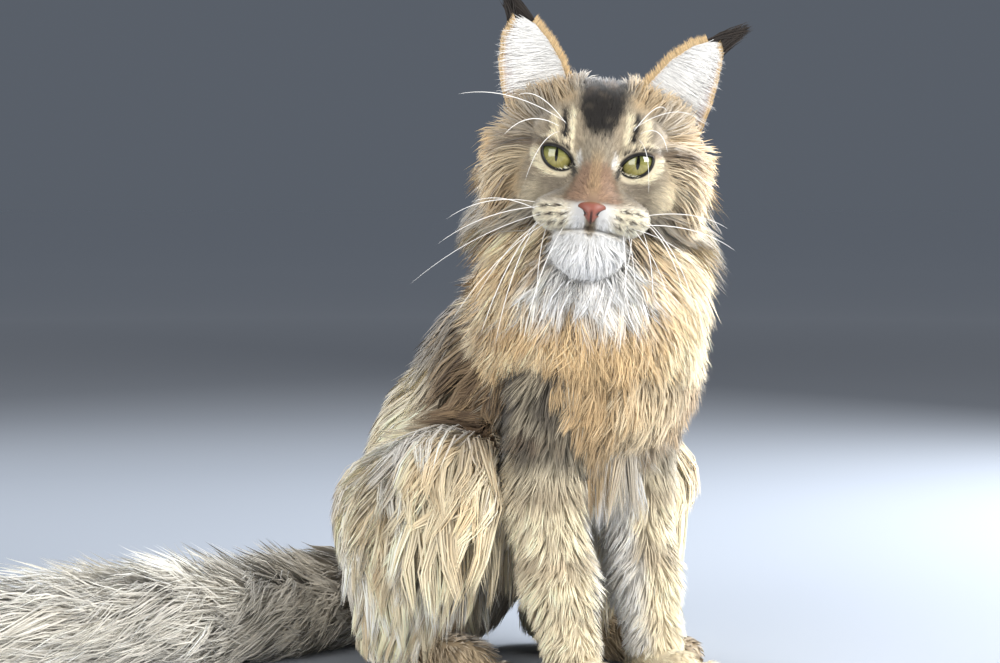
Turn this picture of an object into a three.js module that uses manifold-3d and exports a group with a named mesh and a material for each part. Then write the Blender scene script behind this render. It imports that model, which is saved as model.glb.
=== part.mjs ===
// A long-coated cat with tufted ears, sitting upright and looking over its right shoulder line,
// modelled life size and still. Millimetres, +Z up. The body faces -Y and the cat's left is +X.
// Every part of the body is wrapped round a few named masses: a mass is a limb between two
// points, or a ball, and says how deep the coat is over it. The surface modelled here is the
// coat's dense core, half way from the skin to the tips, and the long coat is built on it as
// flat, tapered locks.

import * as THREE from "three";
import { mergeVertices } from "three/addons/utils/BufferGeometryUtils.js";
import Module from "manifold-3d";

const wasm = await Module();
wasm.setup();

const V = (x, y, z) => new THREE.Vector3(x, y, z);
const radians = THREE.MathUtils.degToRad;

// Driving dimensions
const GAP = 0.3; // between touching parts
const CORE_SHARE = 0.5; // how much of the coat's depth is dense core
const TORSO_BLEND = 26; // how softly neighbouring masses run together
const LIMB_BLEND = 14;
const HEAD_BLEND = 9;
const FLOOR = 0;
const FACE_DENSITY = 1.35;
const SHRINK_PASSES = 14;

// The head's own frame has its origin midway between the eyes and faces -Y.
const HEAD_AT = V(-24.5, -26.5, 333);
const HEAD_TURN = -38; // degrees, towards the cat's right
const HEAD_TILT = 6; // degrees, left side down
const EYE_SPACING = 49;
const EYE_RADIUS = 12;
const EYE_FORWARD = -1.5;
const LID_THICKNESS = 1.6;
const EYE_INNER_CORNER = [-10.3, -5.8]; // from the eye's middle, across and up, on the left eye
const EYE_OUTER_CORNER = [10.3, 4.8];
const EYE_OPENING = [13, -16]; // control points of the lids' edges, above and below
const EAR_CUP = 17;
const EAR_THICKNESS = 2.4;
const EAR_DEPTHS = { inner: [34, 40], outer: [46, 42] }; // how far back, at the base and the tip
const EAR_EDGES = {
  left: {
    inner: [[20, 40], [27, 51], [39, 67], [52, 77], [61, 80]],
    outer: [[54, 8], [60, 20], [65, 37], [68, 55], [69, 70], [66, 78]],
    tuft: [0.85, 0.5],
  },
  right: {
    inner: [[-18, 36], [-23, 46], [-29, 59], [-38, 71], [-49, 82]],
    outer: [[-52, 12], [-58, 25], [-63, 37], [-66, 52], [-66, 69], [-60, 81]],
    tuft: [-0.6, 0.8],
  },
};
const EAR_TUFT_LENGTH = 27;

// Stance
const SHOULDER = V(33, 0, 196);
const ELBOW = V(34, 15, 130);
const WRIST = V(33, -12, 32);
const FOREPAW_LENGTH = 58;
const PAW_SPREAD = 13.5; // from the middle of the paw to its outer toe
const HIP = V(43, 158, 90);
const KNEE = V(68, 60, 128);
const HOCK = V(66, 140, 26);
const HIND_TOES = V(74, 16, 13);

const TAIL_ROUTE = [
  V(0, 205, 52),
  V(-42, 234, 34),
  V(-112, 230, 28),
  V(-190, 226, 31),
  V(-268, 238, 32),
  V(-340, 262, 30),
];

// Colours of the plain finishes
const COAT_TAN = 0xc6a878;
const COAT_GREY = 0x8d8373;
const COAT_CREAM = 0xe3d6b8;
const COAT_PALE = 0xe9e4d8;
const NOSE_PINK = 0xa9614c;
const EYE_GREEN = 0x8f9a4e;

// Masses and the field they make
function limb(from, to, r0, r1, coat) {
  return { from, to, r0, r1, coat };
}

function ball(at, radii, coat) {
  return { at, radii, coat };
}

// Distance from a point to a mass whose radii are grown by part of its coat
function massDistance(mass, p, cover) {
  const fur = mass.coat * cover;
  if (mass.radii) {
    const q = p.clone().sub(mass.at);
    const r = mass.radii.clone().addScalar(fur);
    const k0 = V(q.x / r.x, q.y / r.y, q.z / r.z).length();
    const k1 = V(q.x / r.x ** 2, q.y / r.y ** 2, q.z / r.z ** 2).length();
    return k1 > 0 ? (k0 * (k0 - 1)) / k1 : -Math.min(r.x, r.y, r.z);
  }
  const axis = mass.to.clone().sub(mass.from);
  const t = THREE.MathUtils.clamp(p.clone().sub(mass.from).dot(axis) / axis.lengthSq(), 0, 1);
  const nearest = mass.from.clone().addScaledVector(axis, t);
  return p.distanceTo(nearest) - (mass.r0 + (mass.r1 - mass.r0) * t + fur);
}

function softMin(a, b, k) {
  const h = Math.max(k - Math.abs(a - b), 0) / k;
  return Math.min(a, b) - (h * h * k) / 4;
}

function fieldOf(masses, blend, cover = CORE_SHARE) {
  return (p) => masses.reduce((d, m) => softMin(d, massDistance(m, p, cover), blend), 1e3);
}

function gradient(field, p) {
  const e = 0.5;
  return V(
    field(V(p.x + e, p.y, p.z)) - field(V(p.x - e, p.y, p.z)),
    field(V(p.x, p.y + e, p.z)) - field(V(p.x, p.y - e, p.z)),
    field(V(p.x, p.y, p.z + e)) - field(V(p.x, p.y, p.z - e)),
  ).normalize();
}

// The point where a ray from inside first leaves the field's surface
function leave(field, from, direction, grow) {
  const step = 3;
  let near = 0;
  let far = step;
  while (field(from.clone().addScaledVector(direction, far)) < grow && far < 400) {
    near = far;
    far += step;
  }
  for (let i = 0; i < 18; i++) {
    const middle = (near + far) / 2;
    if (field(from.clone().addScaledVector(direction, middle)) < grow) near = middle;
    else far = middle;
  }
  return from.clone().addScaledVector(direction, near);
}

// Rays that fan out of a spine: round caps at both ends, and rings between them.
// Each entry has where the rays start, and the ring's axis, side and lift directions.
function fan(spine, { rings, caps, up }) {
  const curve = new THREE.CatmullRomCurve3(spine);
  const stations = [];
  const add = (u, lean) => {
    const along = curve.getTangentAt(u);
    const side = along.clone().cross(up).normalize();
    const lift = side.clone().cross(along).normalize();
    stations.push({ u, at: curve.getPointAt(u), along, side, lift, lean: radians(lean) });
  };
  for (let i = 1; i <= caps[0]; i++) add(0, -90 + (90 * i) / (caps[0] + 1));
  for (let i = 0; i <= rings; i++) add(i / rings, 0);
  for (let i = caps[1]; i >= 1; i--) add(1, 90 - (90 * i) / (caps[1] + 1));
  return stations;
}

function rayOf(station, turn) {
  const round = station.side
    .clone()
    .multiplyScalar(Math.cos(turn))
    .addScaledVector(station.lift, Math.sin(turn));
  return round
    .multiplyScalar(Math.cos(station.lean))
    .addScaledVector(station.along, Math.sin(station.lean));
}

// A closed mesh of the field's surface, seen from a spine inside it
function wrap(field, spine, options, grow = 0) {
  const { sides } = options;
  const stations = fan(spine, options);
  const first = stations[0];
  const last = stations[stations.length - 1];
  const points = [leave(field, first.at, first.along.clone().negate(), grow)];
  for (const s of stations)
    for (let j = 0; j < sides; j++)
      points.push(leave(field, s.at, rayOf(s, (2 * Math.PI * j) / sides), grow));
  points.push(leave(field, last.at, last.along, grow));
  const faces = [];
  const at = (ring, j) => 1 + ring * sides + (j % sides);
  const end = points.length - 1;
  for (let j = 0; j < sides; j++) {
    faces.push([0, at(0, j), at(0, j + 1)]);
    for (let i = 0; i + 1 < stations.length; i++) {
      faces.push([at(i, j), at(i + 1, j), at(i + 1, j + 1)]);
      faces.push([at(i, j), at(i + 1, j + 1), at(i, j + 1)]);
    }
    faces.push([end, at(stations.length - 1, j + 1), at(stations.length - 1, j)]);
  }
  return geometryOf(points, faces);
}

// A closed mesh shrunk on to the field's surface from a ball round it, finer in front (-Y),
// and kept even by smoothing along the surface
function shrink(field, middle, radius, detail, grow = 0) {
  const start = new THREE.IcosahedronGeometry(1, detail);
  start.deleteAttribute("normal");
  start.deleteAttribute("uv");
  const ballMesh = mergeVertices(start, 1e-5);
  const index = [...ballMesh.index.array];
  const position = ballMesh.attributes.position;
  const near = Array.from({ length: position.count }, () => new Set());
  for (let i = 0; i < index.length; i += 3)
    for (const [a, b] of [[0, 1], [1, 2], [2, 0]]) {
      near[index[i + a]].add(index[i + b]);
      near[index[i + b]].add(index[i + a]);
    }
  let points = near.map((_, i) => {
    const p = new THREE.Vector3().fromBufferAttribute(position, i);
    const away = Math.acos(THREE.MathUtils.clamp(-p.y, -1, 1));
    const turned = Math.PI * (away / Math.PI) ** FACE_DENSITY;
    const round = Math.sin(away) > 1e-6 ? Math.sin(turned) / Math.sin(away) : 0;
    return V(p.x * round, -Math.cos(turned), p.z * round).multiplyScalar(radius).add(middle);
  });
  const onSurface = (p) => p.clone().addScaledVector(gradient(field, p), grow - field(p));
  for (let pass = 0; pass < SHRINK_PASSES; pass++) {
    points = points.map(onSurface);
    if (pass >= SHRINK_PASSES - 3) continue;
    points = points.map((p, i) => {
      const pull = V(0, 0, 0);
      for (const j of near[i]) pull.addScaledVector(points[j].clone().sub(p), 0.45 / near[i].size);
      const n = gradient(field, p);
      return p.clone().add(pull.addScaledVector(n, -pull.dot(n)));
    });
  }
  const faces = [];
  for (let i = 0; i < index.length; i += 3) faces.push(index.slice(i, i + 3));
  return geometryOf(points, faces);
}

function geometryOf(points, faces) {
  const geometry = new THREE.BufferGeometry();
  geometry.setAttribute(
    "position",
    new THREE.BufferAttribute(new Float32Array(points.flatMap((p) => [p.x, p.y, p.z])), 3),
  );
  geometry.setIndex(faces.flat());
  return geometry;
}

// Solids: closed meshes that can be joined and cut
function solidOf(geometry) {
  const g = geometry.clone();
  g.deleteAttribute("normal");
  g.deleteAttribute("uv");
  const merged = mergeVertices(g, 1e-4);
  const solid = new wasm.Manifold(
    new wasm.Mesh({
      numProp: 3,
      vertProperties: new Float32Array(merged.attributes.position.array),
      triVerts: new Uint32Array(merged.index.array),
    }),
  );
  if (solid.volume() >= 0) return solid;
  const turned = merged.index.array.slice();
  for (let i = 0; i < turned.length; i += 3)
    [turned[i + 1], turned[i + 2]] = [turned[i + 2], turned[i + 1]];
  merged.setIndex(new THREE.BufferAttribute(turned, 1));
  return solidOf(merged);
}

function largestOf(solid) {
  const pieces = solid.decompose().sort((a, b) => b.volume() - a.volume());
  return pieces[0];
}

function geometryFrom(solid) {
  const mesh = solid.getMesh();
  const n = mesh.numProp;
  const points = new Float32Array(mesh.numVert * 3);
  for (let i = 0; i < mesh.numVert; i++)
    points.set(mesh.vertProperties.subarray(i * n, i * n + 3), i * 3);
  const geometry = new THREE.BufferGeometry();
  geometry.setAttribute("position", new THREE.BufferAttribute(points, 3));
  geometry.setIndex(new THREE.BufferAttribute(new Uint32Array(mesh.triVerts), 1));
  geometry.computeVertexNormals();
  return geometry;
}

// Without the hollows that are closed in
const filled = (solid) => solidOf(geometryFrom(largestOf(solid)));

function joined(solids) {
  return solids.reduce((all, s) => all.add(s));
}

// Everything under the floor is cut away, so that what rests on it has a small flat.
const UNDER_FLOOR = solidOf(new THREE.BoxGeometry(1400, 1400, 200).translate(0, 0, FLOOR - 100));

// A body part: its core, and the same core grown by the gap to cut its neighbours with
function bodyPart(name, masses, blend, spine, options) {
  const field = fieldOf(masses, blend);
  return {
    name,
    field,
    spine,
    options,
    solid: solidOf(wrap(field, spine, options)),
    cutter: solidOf(wrap(field, spine, options, GAP)),
  };
}

// Torso
const RIB_FRONT = V(0, 2, 205);
const RIB_BACK = V(0, 62, 192);
const LOIN = V(0, 128, 135);
const PELVIS = V(0, 188, 58);

const chestMasses = [limb(RIB_FRONT, RIB_BACK, 42, 54, 22)];
const rearMasses = [limb(RIB_BACK, LOIN, 54, 58, 16), limb(LOIN, PELVIS, 58, 50, 16)];
const chest = bodyPart("torso_front", chestMasses, TORSO_BLEND, [RIB_FRONT, RIB_BACK], {
  rings: 2,
  caps: [4, 1],
  sides: 16,
  up: V(0, 0, 1),
});
const rear = bodyPart("torso_rear", rearMasses, TORSO_BLEND, [RIB_BACK, LOIN, PELVIS], {
  rings: 4,
  caps: [1, 3],
  sides: 14,
  up: V(0, 1, 1),
});

// Neck, under the ruff
const NECK_TOP = V(8, 24, 296);
const NECK_BASE = V(2, 12, 236);
const neck = bodyPart(
  "neck",
  [limb(NECK_TOP, NECK_BASE, 40, 46, 34)],
  TORSO_BLEND,
  [NECK_TOP, NECK_BASE],
  { rings: 3, caps: [1, 1], sides: 14, up: V(0, 1, 0) },
);

// Legs. side is 1 on the cat's left and -1 on its right.
const sided = (p, side) => V(p.x * side, p.y, p.z);

function foreleg(side) {
  const [shoulder, elbow, wrist] = [SHOULDER, ELBOW, WRIST].map((p) => sided(p, side));
  const middle = elbow.clone().lerp(wrist, 0.6);
  return bodyPart(
    side > 0 ? "foreleg_left" : "foreleg_right",
    [
      limb(shoulder, elbow, 25, 21, 12),
      limb(elbow, middle, 21, 16, 12),
      limb(middle, wrist, 16, 15, 9),
    ],
    LIMB_BLEND,
    [shoulder, elbow, middle, wrist],
    { rings: 6, caps: [1, 1], sides: 12, up: V(0, -1, 0.2) },
  );
}

function forepaw(side) {
  const wrist = sided(WRIST, side);
  const heel = V(wrist.x, wrist.y + 2, 14);
  const knuckles = V(wrist.x, wrist.y - 24, 13);
  const masses = [
    limb(wrist, heel, 14.5, 13, 5),
    limb(heel, knuckles, 13.5, 13, 3),
    ...toes(V(wrist.x, wrist.y - FOREPAW_LENGTH + 22, 10.5)),
  ];
  const name = side > 0 ? "forepaw_left" : "forepaw_right";
  return bodyPart(name, masses, 5, [heel, knuckles], {
    rings: 2,
    caps: [4, 2],
    sides: 18,
    up: V(0, 0, 1),
  });
}

// Four toes side by side, the middle two further forward
function toes(middle, heading = 0) {
  return [-1, -0.34, 0.34, 1].map((place) => {
    const forward = -7 * (1 - Math.abs(place));
    const at = V(place * PAW_SPREAD, forward - 4, 0)
      .applyAxisAngle(V(0, 0, 1), radians(heading))
      .add(middle);
    return ball(at, V(7.6, 13, 9.5), 2.5);
  });
}

function thigh(side) {
  const [hip, knee, hock] = [HIP, KNEE, HOCK].map((p) => sided(p, side));
  const flesh = hip.clone().lerp(knee, 0.5).add(V(4 * side, 4, -8));
  const calf = knee.clone().lerp(hock, 0.45);
  return bodyPart(
    side > 0 ? "hindleg_left" : "hindleg_right",
    [
      limb(hip, flesh, 33, 40, 14),
      limb(flesh, knee, 40, 30, 16),
      limb(knee, calf, 28, 24, 16),
      limb(calf, hock, 24, 16, 12),
    ],
    20,
    [hip.clone().lerp(flesh, 0.2), flesh.clone().add(V(0, 6, -12)), knee.clone().lerp(flesh, 0.25)],
    { rings: 3, caps: [3, 3], sides: 14, up: V(0, 0, 1) },
  );
}

function hindfoot(side) {
  const [hock, tips] = [HOCK, HIND_TOES].map((p) => sided(p, side));
  const ball_of_foot = V(tips.x, tips.y + 26, 17);
  const heel = V(hock.x, hock.y, 20);
  return bodyPart(
    side > 0 ? "hindfoot_left" : "hindfoot_right",
    [
      limb(heel, ball_of_foot, 14, 15, 8),
      ...toes(V(tips.x, tips.y + 10, 10.5), -4 * side),
    ],
    6,
    [heel, ball_of_foot],
    { rings: 3, caps: [2, 4], sides: 16, up: V(0, 0, 1) },
  );
}

// Tail, in three lengths cut from one route
const tailCurve = new THREE.CatmullRomCurve3(TAIL_ROUTE);
const TAIL_RADII = [15, 13, 11, 9, 6.5, 4];
const TAIL_COATS = [22, 26, 36, 40, 40, 34];
const tailValue = (values, u) => {
  const x = THREE.MathUtils.clamp(u, 0, 1) * (values.length - 1);
  const i = Math.min(Math.floor(x), values.length - 2);
  return values[i] + (values[i + 1] - values[i]) * (x - i);
};

function tailLength(name, from, to) {
  const pieces = 4;
  const points = [];
  for (let i = 0; i <= pieces; i++)
    points.push(tailCurve.getPointAt(from + ((to - from) * i) / pieces));
  const masses = points.slice(1).map((p, i) => {
    const [a, b] = [from + ((to - from) * i) / pieces, from + ((to - from) * (i + 1)) / pieces];
    const coat = tailValue(TAIL_COATS, (a + b) / 2);
    return limb(points[i], p, tailValue(TAIL_RADII, a), tailValue(TAIL_RADII, b), coat);
  });
  return bodyPart(name, masses, LIMB_BLEND, points, {
    rings: 3,
    caps: [1, 1],
    sides: 12,
    up: V(0, 0, 1),
  });
}

// Head, in its own frame
const headFrame = new THREE.Matrix4()
  .makeRotationZ(radians(HEAD_TURN))
  .multiply(new THREE.Matrix4().makeRotationY(radians(HEAD_TILT)))
  .setPosition(HEAD_AT);

const MUZZLE_FRONT = V(0, -12, -31);
const CHIN = V(0, -17, -56);

function headMasses() {
  const pairs = [-1, 1].flatMap((side) => [
    ball(V(22 * side, 8, 14), V(17, 13, 10), 3), // brow
    ball(V(31 * side, 20, -15), V(19, 27, 20), 8), // cheek
    ball(V(24 * side, 6, -15), V(16, 13, 13), 3), // below the eye
    ball(V(36 * side, 38, 10), V(19, 24, 25), 6), // temple, which carries the ear
    ball(V(17.5 * side, -18, -35), V(18.5, 15, 12), 3), // whisker pad
  ]);
  return [
    ball(V(0, 40, 14), V(42, 46, 33), 5), // cranium
    ball(V(0, 17, -4), V(44, 23, 30), 4), // face
    limb(V(0, 15, -20), MUZZLE_FRONT, 29, 20, 3),
    limb(V(0, 0, 6), V(0, -28, -24), 12, 9.5, 1.5), // bridge of the nose
    ball(V(0, -33, -31), V(10.5, 7, 7), 0), // nose leather
    limb(V(0, 25, -46), V(0, -10, -52), 21, 16, 4), // lower jaw
    ball(CHIN, V(19, 11, 10), 3),
    ...pairs,
  ];
}

const headField = fieldOf(headMasses(), HEAD_BLEND);
const HEAD_MIDDLE = V(0, 16, -8);
const head = {
  name: "head",
  field: headField,
  solid: solidOf(shrink(headField, HEAD_MIDDLE, 75, 6)),
  closeCutter: solidOf(shrink(headField, HEAD_MIDDLE, 75, 6, GAP)),
  cutter: solidOf(shrink(headField, HEAD_MIDDLE, 75, 4, 9 * GAP)),
};

// The head's surface straight in front of a place across and up the face
const onFace = (x, z) => leave(head.field, V(x * 0.4, 20, z * 0.6 - 8), frontOf(x, z), 0);
const frontOf = (x, z) => V(x * 0.6, -60, z * 0.4 + 8).normalize();

// Eyelids: a shell over each eyeball with the almond opening cut out of it
function almond(side) {
  const [inner, outer] = [EYE_INNER_CORNER, EYE_OUTER_CORNER];
  const across = new THREE.Vector2(outer[0] - inner[0], outer[1] - inner[1]);
  const middle = new THREE.Vector2((inner[0] + outer[0]) / 2, (inner[1] + outer[1]) / 2);
  const upward = new THREE.Vector2(-across.y, across.x).normalize();
  const above = middle.clone().addScaledVector(upward, EYE_OPENING[0]);
  const below = middle.clone().addScaledVector(upward, EYE_OPENING[1]);
  const shape = new THREE.Shape();
  shape.moveTo(inner[0] * side, inner[1]);
  shape.quadraticCurveTo(below.x * side, below.y, outer[0] * side, outer[1]);
  shape.quadraticCurveTo(above.x * side, above.y, inner[0] * side, inner[1]);
  const prism = new THREE.ExtrudeGeometry(shape, {
    depth: 40,
    bevelEnabled: false,
    curveSegments: 7,
  });
  return prism.rotateX(Math.PI / 2).translate((EYE_SPACING / 2) * side, 0, 0);
}

function eyeball(side, grow) {
  const ballShape = new THREE.SphereGeometry(EYE_RADIUS + grow, 14, 8);
  return solidOf(ballShape.translate((EYE_SPACING / 2) * side, EYE_FORWARD, 0));
}

// Groove of the mouth: down from the nose, then out along each lip
function mouthLine() {
  const bottomOfNose = onFace(0, -38);
  const meeting = onFace(0, -46);
  const lip = [[9, -50], [20, -50], [29, -45]];
  const lips = [-1, 1].map((side) => [meeting, ...lip.map(([x, z]) => onFace(x * side, z))]);
  return [[bottomOfNose, onFace(0, -42), meeting], ...lips].map((points) => groove(points, 1.1));
}

function groove(points, radius) {
  const section = new THREE.Shape().absarc(0, 0, radius, 0, 2 * Math.PI);
  const path = new THREE.CatmullRomCurve3(points);
  return solidOf(
    new THREE.ExtrudeGeometry(section, { steps: 4, curveSegments: 2, extrudePath: path }),
  );
}

function nostril(side) {
  const shape = new THREE.SphereGeometry(1, 8, 6).scale(2.6, 3.5, 1.8);
  return solidOf(shape.rotateY(0.5 * side).translate(6.2 * side, -41.2, -31));
}

function faceDetails(solid) {
  const sides = [-1, 1];
  const lids = sides.map((side) => eyeball(side, LID_THICKNESS).subtract(solidOf(almond(side))));
  const lidded = lids.reduce((s, lid) => s.add(lid), solid);
  const cuts = [...sides.map((side) => eyeball(side, GAP)), ...sides.map(nostril), ...mouthLine()];
  return cuts.reduce((s, cut) => s.subtract(cut), lidded);
}

// Ears: a cupped sheet of even thickness between an inner and an outer edge
function earSurface(side) {
  const edges = side > 0 ? EAR_EDGES.left : EAR_EDGES.right;
  const curve = (points, [base, tip]) =>
    new THREE.CatmullRomCurve3(
      points.map(([x, z], i) => V(x, base + ((tip - base) * i) / (points.length - 1), z)),
    );
  const inner = curve(edges.inner, EAR_DEPTHS.inner);
  const outer = curve(edges.outer, EAR_DEPTHS.outer);
  return (u, v) =>
    inner
      .getPointAt(v)
      .lerp(outer.getPointAt(v), u)
      .add(V(0, EAR_CUP * Math.sin(Math.PI * u) * (1 - 0.75 * v), 0));
}

function sheet(surface, across, along, thickness) {
  const points = [];
  const faces = [];
  const index = (back, i, j) => (back * (along + 1) + j) * (across + 1) + i;
  for (const back of [0, 1])
    for (let j = 0; j <= along; j++)
      for (let i = 0; i <= across; i++)
        points.push(surface(i / across, j / along).add(V(0, back * thickness, 0)));
  const quad = (a, b, c, d) => faces.push([a, b, c], [a, c, d]);
  for (let j = 0; j < along; j++) {
    for (let i = 0; i < across; i++) {
      quad(index(0, i, j), index(0, i + 1, j), index(0, i + 1, j + 1), index(0, i, j + 1));
      faces.push([index(1, i, j), index(1, i + 1, j + 1), index(1, i + 1, j)]);
      faces.push([index(1, i, j), index(1, i, j + 1), index(1, i + 1, j + 1)]);
    }
    quad(index(0, 0, j), index(0, 0, j + 1), index(1, 0, j + 1), index(1, 0, j));
    quad(index(0, across, j), index(1, across, j), index(1, across, j + 1), index(0, across, j + 1));
  }
  for (let i = 0; i < across; i++) {
    quad(index(0, i, 0), index(1, i, 0), index(1, i + 1, 0), index(0, i + 1, 0));
    quad(index(0, i, along), index(0, i + 1, along), index(1, i + 1, along), index(1, i, along));
  }
  return geometryOf(points, faces);
}

function ear(side) {
  const surface = earSurface(side);
  const name = side > 0 ? "ear_left" : "ear_right";
  const base = (grow) => {
    const wider = (u, v) => surface(u, v).add(V(0, -grow, 0));
    return solidOf(sheet(wider, 6, 5, EAR_THICKNESS + 2 * grow));
  };
  return { name, surface, solid: base(0), cutter: base(GAP) };
}

// Put together: what comes first keeps its shape, and what comes later is cut clear of it.
const inBody = (part) => ({ ...part, cutter: part.cutter.transform(headFrame.elements) });
const coatOf = {
  head: COAT_TAN,
  neck: COAT_TAN,
  torso_front: COAT_TAN,
  torso_rear: COAT_GREY,
  tail: COAT_PALE,
  foreleg: COAT_CREAM,
  forepaw: COAT_CREAM,
  hindleg: COAT_CREAM,
  hindfoot: COAT_GREY,
};

function finish(colour, roughness = 0.9) {
  return new THREE.MeshStandardMaterial({ color: colour, roughness, metalness: 0 });
}

const colourFor = (name) => coatOf[Object.keys(coatOf).find((k) => name.startsWith(k))];

const cat = new THREE.Group();
const headGroup = new THREE.Group();
headGroup.applyMatrix4(headFrame);
cat.add(headGroup);

const bodyParts = [
  ...[1, -1].map(forepaw),
  ...[1, -1].map(hindfoot),
  ...[1, -1].map(foreleg),
  ...[1, -1].map(thigh),
  neck,
  chest,
  rear,
  tailLength("tail_base", 0.08, 0.36),
  tailLength("tail_middle", 0.36, 0.68),
  tailLength("tail_tip", 0.68, 1),
];

// Cuts leave corners a hair's breadth apart. They are welded, and faces that fold flat go.
const WELD_REACH = 0.0025;
const DRAW_BACK = 0.015;

function weld(geometry, reach) {
  const position = geometry.attributes.position;
  const cells = new Map();
  const kept = [];
  const into = [];
  const cell = (p, dx, dy, dz) =>
    [Math.floor(p.x / reach) + dx, Math.floor(p.y / reach) + dy, Math.floor(p.z / reach) + dz].join();
  for (let i = 0; i < position.count; i++) {
    const p = V(position.getX(i), position.getY(i), position.getZ(i));
    let found = -1;
    for (let k = 0; k < 27 && found < 0; k++) {
      const key = cell(p, (k % 3) - 1, (Math.floor(k / 3) % 3) - 1, Math.floor(k / 9) - 1);
      for (const j of cells.get(key) ?? []) if (kept[j].distanceTo(p) < reach) found = j;
    }
    if (found < 0) {
      found = kept.push(p) - 1;
      const key = cell(p, 0, 0, 0);
      cells.set(key, [...(cells.get(key) ?? []), found]);
    }
    into.push(found);
  }
  const faces = new Map();
  const index = geometry.index.array;
  for (let i = 0; i < index.length; i += 3) {
    const face = [into[index[i]], into[index[i + 1]], into[index[i + 2]]];
    if (new Set(face).size < 3) continue;
    const key = [...face].sort((a, b) => a - b).join();
    if (faces.has(key)) faces.delete(key);
    else faces.set(key, face);
  }
  return { points: kept, faces: [...faces.values()], into };
}

// Corners of edges that aren't shared by exactly two faces
function looseCorners({ faces }) {
  const edges = new Map();
  for (const face of faces)
    for (let k = 0; k < 3; k++) {
      const [a, b] = [face[k], face[(k + 1) % 3]];
      const key = a < b ? `${a},${b}` : `${b},${a}`;
      edges.set(key, (edges.get(key) ?? 0) + 1);
    }
  const loose = [...edges].filter(([, count]) => count !== 2);
  return new Set(loose.flatMap(([key]) => key.split(",").map(Number)));
}

// Where two sheets only touch, each is drawn back a little into its own side.
function tidied(geometry) {
  for (let round = 0; round < 12; round++) {
    const welded = weld(geometry, WELD_REACH);
    const loose = looseCorners(welded);
    if (!loose.size) {
      const tidy = geometryOf(welded.points, welded.faces);
      tidy.computeVertexNormals();
      return tidy;
    }
    geometry.computeVertexNormals();
    const { position, normal } = geometry.attributes;
    welded.into.forEach((corner, i) => {
      if (!loose.has(corner)) return;
      const back = DRAW_BACK * (1 + random());
      position.setXYZ(
        i,
        position.getX(i) - back * normal.getX(i),
        position.getY(i) - back * normal.getY(i),
        position.getZ(i) - back * normal.getZ(i),
      );
    });
  }
  return geometry;
}

// The solid with a small block cut out wherever it still meets an earlier part
function clearOf(solid, earlier) {
  let clear = solid;
  for (const other of earlier)
    for (const clash of clear.intersect(other.solid).decompose()) {
      const { min, max } = clash.boundingBox();
      const size = [0, 1, 2].map((k) => max[k] - min[k] + 2 * GAP);
      const at = [0, 1, 2].map((k) => (max[k] + min[k]) / 2);
      const block = new THREE.BoxGeometry(...size).translate(...at);
      clear = largestOf(clear.subtract(solidOf(block)));
    }
  return clear;
}

function show(group, name, solid, material) {
  const geometry = tidied(geometryFrom(largestOf(solid)));
  const mesh = new THREE.Mesh(geometry, material);
  mesh.name = name;
  group.add(mesh);
  return mesh;
}

// Locks: flat, tapered, three-sided. Each leaves the core along its lie, follows the whole
// body's surface and rises from it to its tip. The root is sunk into the core.
const LOCK_WIDTHS = [0.6, 1, 0.72]; // along the lock, before its tip
const LOCK_FLATNESS = 0.24; // thickness for each millimetre of width
const LOCK_SINK = 3;
const LOWEST_LOCK = 3;

let seed = 71;
const random = () => {
  seed = (seed * 16807) % 2147483647;
  return seed / 2147483647;
};
const jitter = (share) => 1 + share * (2 * random() - 1);

const headInverse = headFrame.clone().invert();
const headInBody = (p) => head.field(p.clone().applyMatrix4(headInverse));
const coreFields = [headInBody, ...bodyParts.map((part) => part.field)];
const wholeBody = (p) => coreFields.reduce((d, field) => Math.min(d, field(p)), 1e3);

function lockPath(field, root, lie, length, rise) {
  const points = [root.clone().addScaledVector(gradient(field, root), -LOCK_SINK)];
  const normals = [gradient(field, root)];
  const count = LOCK_WIDTHS.length;
  let p = root.clone();
  for (let i = 1; i <= count; i++) {
    const n = gradient(wholeBody, p);
    const d = lie(p).clone();
    d.addScaledVector(n, -0.9 * d.dot(n)).normalize();
    p = p.clone().addScaledVector(d, length / count);
    const target = rise * (i / count) ** 1.3;
    const short = target - wholeBody(p);
    if (short > 0) p.addScaledVector(gradient(wholeBody, p), short);
    p.z = Math.max(p.z, LOWEST_LOCK);
    points.push(p.clone());
    normals.push(gradient(wholeBody, p));
  }
  return { points, normals };
}

function lockSolid({ points, normals }, width, grow) {
  const corners = [];
  const last = points.length - 1;
  points.forEach((p, i) => {
    const d = points[Math.min(i + 1, last)].clone().sub(points[Math.max(i - 1, 0)]).normalize();
    const side = d.clone().cross(normals[i]).normalize();
    const n = side.clone().cross(d).normalize();
    const share = i < last ? LOCK_WIDTHS[i] : 0;
    const half = (width / 2) * share + 4 * grow;
    const thick = width * LOCK_FLATNESS * share + grow;
    const middle = p.clone().addScaledVector(d, i === last ? 4 * grow : 0);
    if (i === last && grow === 0) return corners.push([middle, middle, middle]);
    corners.push([
      middle.clone().addScaledVector(side, -half).addScaledVector(n, -grow),
      middle.clone().addScaledVector(side, half).addScaledVector(n, -grow),
      middle.clone().addScaledVector(n, thick),
    ]);
  });
  const flat = corners.flat();
  const faces = [[0, 1, 2], [3 * last, 3 * last + 2, 3 * last + 1]];
  for (let i = 0; i < last; i++)
    for (let j = 0; j < 3; j++) {
      const [a, b] = [3 * i + j, 3 * i + ((j + 1) % 3)];
      faces.push([a, a + 3, b + 3], [a, b + 3, b]);
    }
  const real = faces.filter((f) => new Set(f.map((k) => flat[k])).size === 3);
  return solidOf(geometryOf(flat, real));
}

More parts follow.
